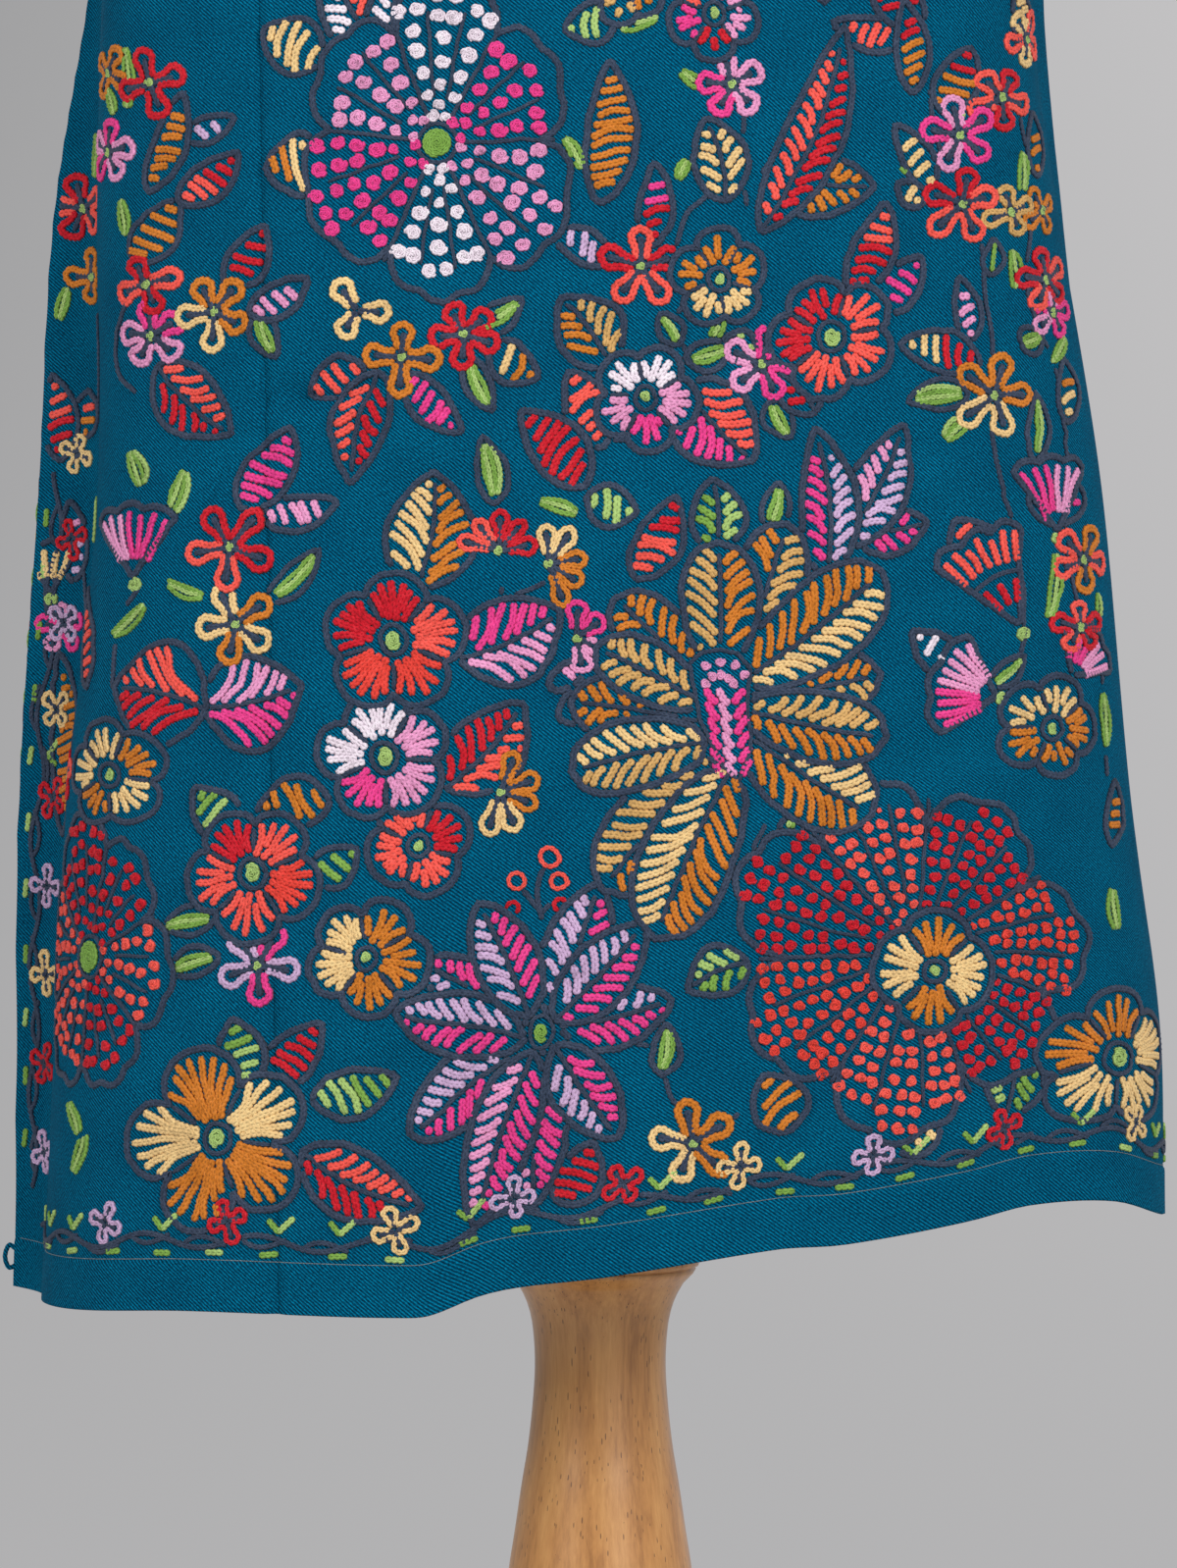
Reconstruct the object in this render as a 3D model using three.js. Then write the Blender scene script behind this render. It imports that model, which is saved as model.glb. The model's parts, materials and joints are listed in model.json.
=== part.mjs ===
// A loose wool pheran on a limbless dress form with a turned wooden stand.
// Millimetres, +Z up, the front towards -Y. The origin is the centre of the base's underside.

import * as THREE from 'three';

// Cloth
const WALL = 2.0;
const HEM_WALL = 3.0;
const HEM_BAND = 25;
const SEAM_GAP = 0.3;

// Heights on the garment
const HEM_LEVEL = 430;
const LEVEL_ROWS_FROM = 800;
const SLIT_TOP = 845;
const UNDERARM = 1340;
const CHEST = 1420;

// Openings of the garment
const SLIT_SPREAD = 14;
const NECK_HALF_WIDTH = 75;
const NECK_FRONT_DEPTH = 104;
const NECK_BACK_DEPTH = 66;
const SHOULDER_TIP = 238;

// Shape of the garment in plan
const PLAN_POWER = 2.4;
const FOLD_SETBACK = 30;
const TURNED_STRIP = 8;
const SIDE_SEAM_BEHIND = 50;
const SEAM_X_AT_HEM = -166;
const SEAM_X_ABOVE = -179;
const SEAM_STRAIGHT_FROM = 1121;

// Plan sections: half widths to each side, depths to the front and the back, and the width of
// the strip that turns outwards beyond the fold at each side.
const SECTIONS = [
  { z: 430, left: 320, right: 303, front: 186, back: 150, leftStrip: 20, rightStrip: 0 },
  { z: 540, left: 319, right: 301, front: 184, back: 148, leftStrip: 24, rightStrip: 0 },
  { z: 680, left: 318, right: 285, front: 178, back: 142, leftStrip: 30, rightStrip: 0 },
  { z: 850, left: 307, right: 270, front: 168, back: 134, leftStrip: 36, rightStrip: 0 },
  { z: 1000, left: 299, right: 252, front: 160, back: 128, leftStrip: 28, rightStrip: 6 },
  { z: 1121, left: 280, right: 241, front: 152, back: 122, leftStrip: 12, rightStrip: 8 },
  { z: 1250, left: 262, right: 246, front: 142, back: 116, leftStrip: 2, rightStrip: 3 },
  { z: 1340, left: 252, right: 252, front: 130, back: 109, leftStrip: 0, rightStrip: 0 },
  { z: 1420, left: 252, right: 252, front: 114, back: 104, leftStrip: 0, rightStrip: 0 },
];

// Height of the hem's edge along the front and along the back.
const FRONT_HEM = [
  { x: -320, z: 420 },
  { x: -292, z: 417 },
  { x: -215, z: 421 },
  { x: -105, z: 420 },
  { x: -88, z: 421 },
  { x: -62, z: 431 },
  { x: -40, z: 436 },
  { x: 0, z: 441 },
  { x: 90, z: 455 },
  { x: 125, z: 457 },
  { x: 190, z: 468 },
  { x: 225, z: 475 },
  { x: 270, z: 475 },
  { x: 303, z: 463 },
];
const BACK_HEM = [
  { x: -320, z: 424 },
  { x: -150, z: 430 },
  { x: 0, z: 440 },
  { x: 150, z: 456 },
  { x: 240, z: 470 },
  { x: 303, z: 463 },
];

// Soft folds that hang from the body: place across, half width, depth inwards at the hem, and
// the height where the fold has died away.
const FRONT_FOLDS = [
  { x: -60, width: 34, depth: 9, top: 640 },
  { x: 118, width: 46, depth: 5, top: 700 },
  { x: 226, width: 30, depth: 8, top: 760 },
];
const BACK_FOLDS = [
  { x: -170, width: 34, depth: 14, top: 900 },
  { x: -48, width: 30, depth: 11, top: 780 },
  { x: 74, width: 36, depth: 15, top: 920 },
  { x: 196, width: 30, depth: 10, top: 820 },
];

// Height of the shoulder line by its distance from the middle.
const SHOULDER_LINE = [
  { x: 60, z: 1566 },
  { x: 120, z: 1549 },
  { x: 170, z: 1531 },
  { x: 210, z: 1510 },
  { x: 252, z: 1482 },
];

// Rows of the cloth grids
const SKIRT_LEVELS = [
  430, 455, 456, 505, 560, 615, 670, 730, 790, 845, 905, 965, 1025, 1085, 1150, 1215, 1280,
  1340,
];
const ARMHOLE_LOWER_ROWS = 3;
const SHOULDER_ROWS = 7;

// Columns of the cloth grids
const STRIP_COLUMNS = 5;
const GORE_COLUMNS = 6;
const SEAM_TO_NECK_COLUMNS = 4;
const NECK_COLUMNS = 10;
const NECK_TO_SIDE_COLUMNS = 11;
const BACK_SIDE_COLUMNS = 9;
const PLAN_STEPS = 72;
const TANGENT_REACH = 1;

// Sleeves
const SLEEVE_STEP = 30;
const SLEEVE_OFFSET = 0.4;
const END_TURN = THREE.MathUtils.degToRad(5);
// Slope of the sleeve below level and half sizes of its opening, ring by ring.
const SLEEVE_RINGS = [
  { slope: 10, half: 82, depth: 56 },
  { slope: 27, half: 83, depth: 55 },
  { slope: 43, half: 84, depth: 53 },
  { slope: 53, half: 85, depth: 51 },
  { slope: 60, half: 86, depth: 49 },
  { slope: 64, half: 87, depth: 47 },
  { slope: 66, half: 88, depth: 46 },
  { slope: 67, half: 89, depth: 45 },
];

// Dress form: half width and depths of each level.
const TORSO_SIDES = 32;
const TORSO_POWER = 2.2;
const TORSO_LEVELS = [
  { z: 760, width: 152, front: 92, back: 92 },
  { z: 764, width: 161, front: 100, back: 100 },
  { z: 776, width: 167, front: 105, back: 106 },
  { z: 860, width: 176, front: 111, back: 116 },
  { z: 950, width: 178, front: 112, back: 112 },
  { z: 1050, width: 152, front: 98, back: 96 },
  { z: 1150, width: 124, front: 84, back: 80 },
  { z: 1220, width: 134, front: 100, back: 84 },
  { z: 1290, width: 150, front: 122, back: 92 },
  { z: 1350, width: 160, front: 114, back: 96 },
  { z: 1420, width: 172, front: 100, back: 94 },
  { z: 1465, width: 178, front: 90, back: 88 },
  { z: 1500, width: 176, front: 80, back: 78 },
  { z: 1515, width: 170, front: 73, back: 71 },
  { z: 1528, width: 156, front: 64, back: 62 },
  { z: 1544, width: 108, front: 54, back: 51 },
  { z: 1554, width: 74, front: 50, back: 48 },
  { z: 1562, width: 60, front: 49, back: 47 },
  { z: 1580, width: 54, front: 48, back: 46 },
  { z: 1612, width: 52, front: 47, back: 45 },
  { z: 1618, width: 50, front: 45, back: 43 },
  { z: 1620, width: 44, front: 39, back: 37 },
];

// Stand
const BASE_RADIUS = 190;
const BASE_HEIGHT = 26;
const BASE_EDGE = 7;
const COLUMN_TOP = 440;
const POST_RADIUS = 14;
const TURNED_SIDES = 28;
const POST_SIDES = 20;
// Radius of the turned column by height, from its foot to the lip at its top.
const COLUMN_PROFILE = [
  { z: 26.3, r: 58 },
  { z: 36, r: 58 },
  { z: 42, r: 54 },
  { z: 50, r: 47 },
  { z: 66, r: 41 },
  { z: 90, r: 40 },
  { z: 120, r: 44 },
  { z: 160, r: 51 },
  { z: 205, r: 54.5 },
  { z: 240, r: 53 },
  { z: 268, r: 49.6 },
  { z: 287, r: 46.6 },
  { z: 311, r: 43.1 },
  { z: 335, r: 39.2 },
  { z: 360, r: 36.6 },
  { z: 380, r: 35.7 },
  { z: 400, r: 37.2 },
  { z: 412, r: 40.3 },
  { z: 422, r: 45.6 },
  { z: 427, r: 50.6 },
  { z: 429.5, r: 52.2 },
  { z: 432, r: 54 },
  { z: 435, r: 54 },
  { z: 438.5, r: 52 },
  { z: 440, r: 48 },
];

// Loop of cloth cord at the foot of the left slit
const LOOP_RADIUS = 1.3;
const LOOP_REACH = 6;
const LOOP_LOW = 429;
const LOOP_HIGH = 443;

const material = (color, roughness, metalness = 0) =>
  new THREE.MeshStandardMaterial({ color, roughness, metalness });
const WOOL = material(0x0e627a, 0.9);
const COVER = material(0xd9d2c4, 0.85);
const WOOD = material(0xbe8750, 0.4);
const STEEL = material(0xb8babd, 0.3, 1);

const lerp = THREE.MathUtils.lerp;
const clamp = THREE.MathUtils.clamp;

function fade(value, from, to) {
  const t = clamp((value - from) / (to - from), 0, 1);
  return t * t * (3 - 2 * t);
}

// Smooth value of one column of a table at a place along its key column.
function smoothAt(table, key, column, at) {
  const place = clamp(at, table[0][key], table[table.length - 1][key]);
  let i = 0;
  while (i < table.length - 2 && table[i + 1][key] < place) i += 1;
  const slope = (k) => {
    const a = table[Math.max(k - 1, 0)];
    const b = table[Math.min(k + 1, table.length - 1)];
    return (b[column] - a[column]) / (b[key] - a[key]);
  };
  const from = table[i];
  const to = table[i + 1];
  const span = to[key] - from[key];
  const t = (place - from[key]) / span;
  const h = t * t * (3 - 2 * t);
  const rise = t * (1 - t) * (1 - t) * span * slope(i);
  const fall = t * t * (1 - t) * span * slope(i + 1);
  return lerp(from[column], to[column], h) + rise - fall;
}

// One quarter of a superellipse, from the axis of depth (0) to the axis of width (1).
function quarter(t, width, depth) {
  const angle = (t * Math.PI) / 2;
  return {
    x: width * Math.sin(angle) ** (2 / PLAN_POWER),
    y: depth * Math.max(Math.cos(angle), 0) ** (2 / PLAN_POWER),
  };
}

function bezier(t, a, b, c, d) {
  const s = 1 - t;
  const mix = (k) => s ** 3 * a[k] + 3 * s * s * t * b[k] + 3 * s * t * t * c[k] + t ** 3 * d[k];
  return { x: mix(0), y: mix(1) };
}

function foldDepth(folds, x, level) {
  let depth = 0;
  for (const fold of folds) {
    const across = Math.exp(-(((x - fold.x) / fold.width) ** 2));
    depth += fold.depth * across * (1 - fade(level, HEM_LEVEL, fold.top));
  }
  return depth;
}

// Closed outline of the garment in plan at one level. It starts at the left side edge and runs
// over the left fold, the front, the right side and the back. Arc lengths go with the points.
function planAt(level) {
  const s = {};
  for (const column of Object.keys(SECTIONS[0])) s[column] = smoothAt(SECTIONS, 'z', column, level);
  const leftFold = s.left - s.leftStrip;
  const rightFold = s.right - s.rightStrip;
  const frontRise = s.front - FOLD_SETBACK;
  const points = [];
  const stripStart = [-s.left, 0];
  const stripEnd = [-leftFold, -FOLD_SETBACK];
  const outer = [-s.left + 0.55 * s.leftStrip, -3];
  const inner = [-leftFold, -16];
  for (let k = 0; k < PLAN_STEPS / 3; k += 1) {
    points.push(bezier((3 * k) / PLAN_STEPS, stripStart, outer, inner, stripEnd));
  }
  const fold = points.length;
  for (let k = PLAN_STEPS; k > 0; k -= 1) {
    const p = quarter(k / PLAN_STEPS, leftFold, frontRise);
    points.push({ x: -p.x, y: -FOLD_SETBACK - p.y + foldDepth(FRONT_FOLDS, -p.x, level) });
  }
  for (let k = 0; k < PLAN_STEPS; k += 1) {
    const p = quarter(k / PLAN_STEPS, rightFold, frontRise);
    points.push({ x: p.x, y: -FOLD_SETBACK - p.y + foldDepth(FRONT_FOLDS, p.x, level) });
  }
  for (let k = 0; k < PLAN_STEPS / 3; k += 1) {
    const t = (3 * k) / PLAN_STEPS;
    const sideFrom = [rightFold, -FOLD_SETBACK];
    points.push(bezier(t, sideFrom, [rightFold, -18], [s.right, -12], [s.right, 0]));
  }
  const widest = points.length;
  for (let k = PLAN_STEPS; k > 0; k -= 1) {
    const p = quarter(k / PLAN_STEPS, s.right, s.back);
    points.push({ x: p.x, y: p.y - foldDepth(BACK_FOLDS, p.x, level) * (p.y / s.back) });
  }
  for (let k = 0; k <= PLAN_STEPS; k += 1) {
    const p = quarter(k / PLAN_STEPS, s.left, s.back);
    points.push({ x: -p.x, y: p.y - foldDepth(BACK_FOLDS, -p.x, level) * (p.y / s.back) });
  }
  const arcs = [0];
  for (let k = 1; k < points.length; k += 1) {
    const a = points[k - 1];
    const b = points[k];
    arcs.push(arcs[k - 1] + Math.hypot(b.x - a.x, b.y - a.y));
  }
  return { points, arcs, fold, widest, section: s };
}

function pointAt(plan, arc) {
  const { arcs, points } = plan;
  const place = clamp(arc, 0, arcs[arcs.length - 1]);
  let i = 0;
  while (i < arcs.length - 2 && arcs[i + 1] < place) i += 1;
  const t = (place - arcs[i]) / (arcs[i + 1] - arcs[i]);
  return {
    x: lerp(points[i].x, points[i + 1].x, t),
    y: lerp(points[i].y, points[i + 1].y, t),
  };
}

// Arc length where a quantity of the outline first passes a value, between two of its points.
function arcWhere(plan, from, to, quantity, value) {
  for (let i = from; i < to; i += 1) {
    const a = quantity(plan.points[i]) - value;
    const b = quantity(plan.points[i + 1]) - value;
    if (a === 0) return plan.arcs[i];
    if (a * b < 0) return lerp(plan.arcs[i], plan.arcs[i + 1], a / (a - b));
  }
  return plan.arcs[to];
}

// Rows of the garment from the hem to the shoulder. Above the chest a row is a share of the
// turn from upright to the shoulder line or the neckline.
function makeRows() {
  const rows = SKIRT_LEVELS.map((level) => ({ level, cut: 0, turn: 0 }));
  const tipCut = SECTIONS[SECTIONS.length - 1].right - SHOULDER_TIP;
  for (let k = 1; k <= ARMHOLE_LOWER_ROWS; k += 1) {
    const angle = ((Math.PI / 2) * k) / ARMHOLE_LOWER_ROWS;
    const level = CHEST - (CHEST - UNDERARM) * Math.cos(angle);
    rows.push({ level, cut: tipCut * Math.sin(angle) ** 2, turn: 0 });
  }
  for (let k = 1; k <= SHOULDER_ROWS; k += 1) {
    rows.push({ level: CHEST, cut: tipCut, turn: k / SHOULDER_ROWS });
  }
  for (const row of rows) {
    row.plan = planAt(row.level);
    row.edges = edgesOf(row);
  }
  return rows;
}

// Arc lengths of the panels' side edges, of the seam and of the neck's width in one row.
function edgesOf({ plan, level, cut }) {
  const last = plan.points.length - 1;
  const total = plan.arcs[last];
  const frontMiddle = plan.fold + PLAN_STEPS;
  const backMiddle = plan.widest + PLAN_STEPS;
  const x = (p) => p.x;
  const scale = plan.section.left / SECTIONS[SECTIONS.length - 1].left;
  const neck = NECK_HALF_WIDTH * scale;
  const seamShare = clamp((level - HEM_LEVEL) / (SEAM_STRAIGHT_FROM - HEM_LEVEL), 0, 1);
  const seamX = lerp(SEAM_X_AT_HEM, SEAM_X_ABOVE, seamShare);
  const edges = {
    seam: arcWhere(plan, plan.fold, frontMiddle, x, seamX),
    frontNeckLeft: arcWhere(plan, plan.fold, frontMiddle, x, -neck),
    frontNeckRight: arcWhere(plan, frontMiddle, plan.widest, x, neck),
    backNeckRight: arcWhere(plan, plan.widest, backMiddle, x, neck),
    backNeckLeft: arcWhere(plan, backMiddle, last, x, -neck),
  };
  if (cut > 0) {
    const left = cut - plan.section.left;
    const right = plan.section.right - cut;
    edges.frontLeft = arcWhere(plan, 0, frontMiddle, x, left);
    edges.frontRight = arcWhere(plan, frontMiddle, plan.widest, x, right);
    edges.backRight = arcWhere(plan, plan.widest, backMiddle, x, right);
    edges.backLeft = arcWhere(plan, backMiddle, last, x, left);
  } else {
    const spread = SLIT_SPREAD * (1 - fade(level, HEM_LEVEL, SLIT_TOP));
    const behind = (SIDE_SEAM_BEHIND * (UNDERARM - level)) / (UNDERARM - HEM_LEVEL);
    const facing = clamp(plan.section.leftStrip / TURNED_STRIP, 0, 1);
    const side = plan.arcs[plan.widest] + behind;
    edges.frontLeft = SEAM_GAP / 2;
    edges.frontRight = side - SEAM_GAP / 2;
    edges.backRight = side + SEAM_GAP / 2 + spread;
    edges.backLeft = total - SEAM_GAP / 2 - HEM_WALL * facing - spread;
  }
  const even = lerp(edges.frontLeft, edges.seam, 0.35);
  const settled = fade(level, SEAM_STRAIGHT_FROM, UNDERARM);
  edges.fold = lerp(plan.arcs[plan.fold], even, cut > 0 ? 1 : settled);
  return edges;
}

// A place on the outside of the cloth.
function clothPoint(row, arc) {
  const flat = pointAt(row.plan, arc);
  const inFront = arc < row.plan.arcs[row.plan.widest];
  if (row.turn === 0) {
    const hem = smoothAt(inFront ? FRONT_HEM : BACK_HEM, 'x', 'z', flat.x);
    const lift = (hem - HEM_LEVEL) * (1 - fade(row.level, HEM_LEVEL, LEVEL_ROWS_FROM));
    return new THREE.Vector3(flat.x, flat.y, row.level + lift);
  }
  const ridge = smoothAt(SHOULDER_LINE, 'x', 'z', Math.abs(flat.x));
  const neckDepth = inFront ? NECK_FRONT_DEPTH : NECK_BACK_DEPTH;
  const acrossNeck = Math.min(Math.abs(flat.x) / NECK_HALF_WIDTH, 1);
  const edgeDepth = neckDepth * Math.sqrt(1 - acrossNeck * acrossNeck);
  const full = Math.acos(Math.min(edgeDepth / Math.abs(flat.y), 1));
  const angle = full * row.turn;
  const half = SEAM_GAP / 2;
  const depth = half + (Math.abs(flat.y) - half) * Math.cos(angle);
  return new THREE.Vector3(flat.x, inFront ? -depth : depth, CHEST + (ridge - CHEST) * Math.sin(angle));
}

// Shares from one edge to the next, evenly or closer together at both ends.
const evenly = (count) => Array.from({ length: count }, (_, k) => k / count);
const roundly = (count) => evenly(count).map((t) => (1 - Math.cos(Math.PI * t)) / 2);

// Arc lengths of a panel's grid: bands of columns between named edges, for every row.
function panelArcs(rows, bands) {
  return rows.map(({ edges }) => {
    const line = [];
    for (const band of bands) {
      const from = edges[band.from] + (band.inset ?? 0);
      const to = edges[band.to] - (band.outset ?? 0);
      for (const share of band.shares) line.push(lerp(from, to, share));
    }
    const end = bands[bands.length - 1];
    line.push(edges[end.to] - (end.outset ?? 0));
    return line;
  });
}

// Outward directions of a grid, with the cloth carried on past the panel's side edges.
function gridNormals(rows, arcs, grid) {
  const lastRow = grid.length - 1;
  return grid.map((line, j) =>
    line.map((_, i) => {
      const left = clothPoint(rows[j], arcs[j][i] - TANGENT_REACH);
      const right = clothPoint(rows[j], arcs[j][i] + TANGENT_REACH);
      const below = grid[Math.max(j - 1, 0)][i];
      const above = grid[Math.min(j + 1, lastRow)][i];
      const up = new THREE.Vector3().subVectors(above, below);
      return right.sub(left).cross(up).normalize();
    })
  );
}

function meshFrom(name, positions, triangles, look) {
  const geometry = new THREE.BufferGeometry();
  geometry.setAttribute('position', new THREE.Float32BufferAttribute(positions, 3));
  geometry.setIndex(triangles);
  geometry.computeVertexNormals();
  const mesh = new THREE.Mesh(geometry, look);
  mesh.name = name;
  return mesh;
}

// Closed wall between an outer and an inner grid of the same size.
function wallMesh(name, outer, inner, look, closedRound = false) {
  const rowCount = outer.length;
  const size = outer[0].length;
  const positions = [];
  for (const grid of [outer, inner]) {
    for (const line of grid) for (const p of line) positions.push(p.x, p.y, p.z);
  }
  const at = (layer, j, i) => (layer * rowCount + j) * size + (i % size);
  const triangles = [];
  const quad = (a, b, c, d) => triangles.push(a, b, c, a, c, d);
  const spans = closedRound ? size : size - 1;
  for (let j = 0; j < rowCount - 1; j += 1) {
    for (let i = 0; i < spans; i += 1) {
      quad(at(0, j, i), at(0, j, i + 1), at(0, j + 1, i + 1), at(0, j + 1, i));
      quad(at(1, j, i), at(1, j + 1, i), at(1, j + 1, i + 1), at(1, j, i + 1));
    }
    if (!closedRound) {
      const end = size - 1;
      quad(at(0, j, 0), at(0, j + 1, 0), at(1, j + 1, 0), at(1, j, 0));
      quad(at(0, j, end), at(1, j, end), at(1, j + 1, end), at(0, j + 1, end));
    }
  }
  const top = rowCount - 1;
  for (let i = 0; i < spans; i += 1) {
    quad(at(0, 0, i), at(1, 0, i), at(1, 0, i + 1), at(0, 0, i + 1));
    quad(at(0, top, i), at(0, top, i + 1), at(1, top, i + 1), at(1, top, i));
  }
  return meshFrom(name, positions, triangles, look);
}

function panel(name, rows, bands) {
  const arcs = panelArcs(rows, bands);
  const outer = rows.map((row, j) => arcs[j].map((arc) => clothPoint(row, arc)));
  const normals = gridNormals(rows, arcs, outer);
  const inner = outer.map((line, j) =>
    line.map((p, i) => {
      const normal = normals[j][i].clone();
      const onShoulder = rows[j].turn === 1 && Math.abs(p.x) > NECK_HALF_WIDTH - 1;
      if (onShoulder) normal.setY(0).normalize();
      const wall = rows[j].level < HEM_LEVEL + HEM_BAND + 0.5 ? HEM_WALL : WALL;
      return p.clone().addScaledVector(normal, -wall);
    })
  );
  return { mesh: wallMesh(name, outer, inner, WOOL), outer };
}

// Sleeve from the armhole edges of the front and the back, bottom to top and down again.
function sleeve(name, side, frontEdge, backEdge) {
  const hole = [...frontEdge, ...backEdge.slice().reverse()];
  const bottom = frontEdge[0];
  const top = frontEdge[frontEdge.length - 1];
  const reach = hole.map((p) => p.y);
  const nearest = Math.min(...reach);
  const furthest = Math.max(...reach);
  const middle = (nearest + furthest) / 2;
  const centre = new THREE.Vector3(bottom.x, middle, (bottom.z + top.z) / 2);
  const half = (top.z - bottom.z) / 2;
  const turns = hole.map((p, i) => {
    const share = clamp((p.z - centre.z) / half, -1, 1);
    return i < frontEdge.length ? -Math.acos(share) : Math.acos(share);
  });
  const sideways = new THREE.Vector3(0, 1, 0);
  const shift = (p, up, rise, reach) => p.addScaledVector(up, rise).addScaledVector(sideways, reach);
  const inwards = (p, up, turn, ring) => {
    const steep = Math.cos(turn) / ring.half;
    const normal = shift(new THREE.Vector3(), up, steep, Math.sin(turn) / ring.depth).normalize();
    return p.clone().addScaledVector(normal, -WALL);
  };
  const level = new THREE.Vector3(0, 0, 1);
  const firstRing = { half, depth: (furthest - nearest) / 2 };
  const outer = [hole.map((p) => p.clone().setX(p.x + side * SLEEVE_OFFSET))];
  const inner = [outer[0].map((p, i) => inwards(p, level, turns[i], firstRing))];
  const walk = centre.clone();
  SLEEVE_RINGS.forEach((ring, k) => {
    const slope = THREE.MathUtils.degToRad(ring.slope);
    const along = new THREE.Vector3(side * Math.cos(slope), 0, -Math.sin(slope));
    const up = new THREE.Vector3(side * Math.sin(slope), 0, Math.cos(slope));
    walk.addScaledVector(along, SLEEVE_STEP);
    const keep = Math.max(1 - (k + 1) / 3, 0);
    const parted = (turn) => Math.sign(turn) * clamp(Math.abs(turn), END_TURN, Math.PI - END_TURN);
    const apart = turns.map(parted);
    const line = hole.map((p, i) => {
      const rise = ring.half * Math.cos(apart[i]);
      const point = shift(walk.clone(), up, rise, ring.depth * Math.sin(apart[i]));
      return point.addScaledVector(along, keep * side * (p.x - centre.x));
    });
    outer.push(line);
    inner.push(line.map((p, i) => inwards(p, up, apart[i], ring)));
  });
  const inOrder = (lines) => (side < 0 ? lines : lines.map((line) => line.slice().reverse()));
  return wallMesh(name, inOrder(outer), inOrder(inner), WOOL, true);
}

// Solid body through closed rings of points, with a flat fan at each end.
function ringSolid(name, rings, look) {
  const size = rings[0].length;
  const positions = rings.flat().flatMap((p) => [p.x, p.y, p.z]);
  const triangles = [];
  for (let j = 0; j < rings.length - 1; j += 1) {
    for (let i = 0; i < size; i += 1) {
      const next = (i + 1) % size;
      const a = j * size + i;
      const b = j * size + next;
      triangles.push(a, b, b + size, a, b + size, a + size);
    }
  }
  const ends = [rings[0], rings[rings.length - 1]];
  ends.forEach((ring, end) => {
    const hub = positions.length / 3;
    positions.push(0, 0, ring[0].z);
    const start = end === 0 ? 0 : (rings.length - 1) * size;
    for (let i = 0; i < size; i += 1) {
      const a = start + i;
      const b = start + ((i + 1) % size);
      triangles.push(...(end === 0 ? [hub, b, a] : [hub, a, b]));
    }
  });
  return meshFrom(name, positions, triangles, look);
}

function formTorso() {
  const rings = TORSO_LEVELS.map(({ z, width, front, back }) =>
    Array.from({ length: TORSO_SIDES }, (_, i) => {
      const angle = (2 * Math.PI * i) / TORSO_SIDES;
      const power = 2 / TORSO_POWER;
      const x = width * Math.sign(Math.sin(angle)) * Math.abs(Math.sin(angle)) ** power;
      const depth = Math.cos(angle) > 0 ? front : back;
      const y = -depth * Math.sign(Math.cos(angle)) * Math.abs(Math.cos(angle)) ** power;
      return new THREE.Vector3(x, y, z);
    })
  );
  return ringSolid('form_torso', rings, COVER);
}

function turned(name, profile, look, sides) {
  const outline = profile.map(({ z, r }) => new THREE.Vector2(r, z));
  outline.unshift(new THREE.Vector2(0, profile[0].z));
  outline.push(new THREE.Vector2(0, profile[profile.length - 1].z));
  const geometry = new THREE.LatheGeometry(outline, sides).rotateX(Math.PI / 2);
  const mesh = new THREE.Mesh(geometry, look);
  mesh.name = name;
  return mesh;
}

function standBase() {
  const profile = [{ z: 0, r: BASE_RADIUS - 2 }, { z: 2, r: BASE_RADIUS }];
  for (let k = 0; k <= 4; k += 1) {
    const angle = (Math.PI / 2) * (k / 4);
    const inset = BASE_EDGE * (1 - Math.cos(angle));
    profile.push({ z: BASE_HEIGHT - BASE_EDGE * (1 - Math.sin(angle)), r: BASE_RADIUS - inset });
  }
  return turned('stand_base', profile, WOOD, TURNED_SIDES + 4);
}

function formPost() {
  const bottom = COLUMN_TOP + SEAM_GAP;
  const top = TORSO_LEVELS[0].z - SEAM_GAP;
  const profile = [{ z: bottom, r: POST_RADIUS }, { z: top, r: POST_RADIUS }];
  return turned('form_post', profile, STEEL, POST_SIDES);
}

// Small cord loop that stands out from the slit edge of the front.
function slitLoop() {
  const edge = -smoothAt(SECTIONS, 'z', 'left', HEM_LEVEL) - SEAM_GAP;
  const across = HEM_WALL / 2;
  const middle = (LOOP_LOW + LOOP_HIGH) / 2;
  const route = new THREE.CatmullRomCurve3([
    new THREE.Vector3(edge, across, LOOP_HIGH - 1),
    new THREE.Vector3(edge - LOOP_REACH * 0.6, across, LOOP_HIGH),
    new THREE.Vector3(edge - LOOP_REACH, across, middle),
    new THREE.Vector3(edge - LOOP_REACH * 0.6, across, LOOP_LOW),
    new THREE.Vector3(edge, across, LOOP_LOW + 1),
  ]);
  const section = new THREE.Shape();
  section.absarc(0, 0, LOOP_RADIUS, 0, 2 * Math.PI);
  const options = { steps: 14, curveSegments: 6, bevelEnabled: false, extrudePath: route };
  const mesh = new THREE.Mesh(new THREE.ExtrudeGeometry(section, options), WOOL);
  mesh.name = 'slit_loop';
  return mesh;
}

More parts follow.
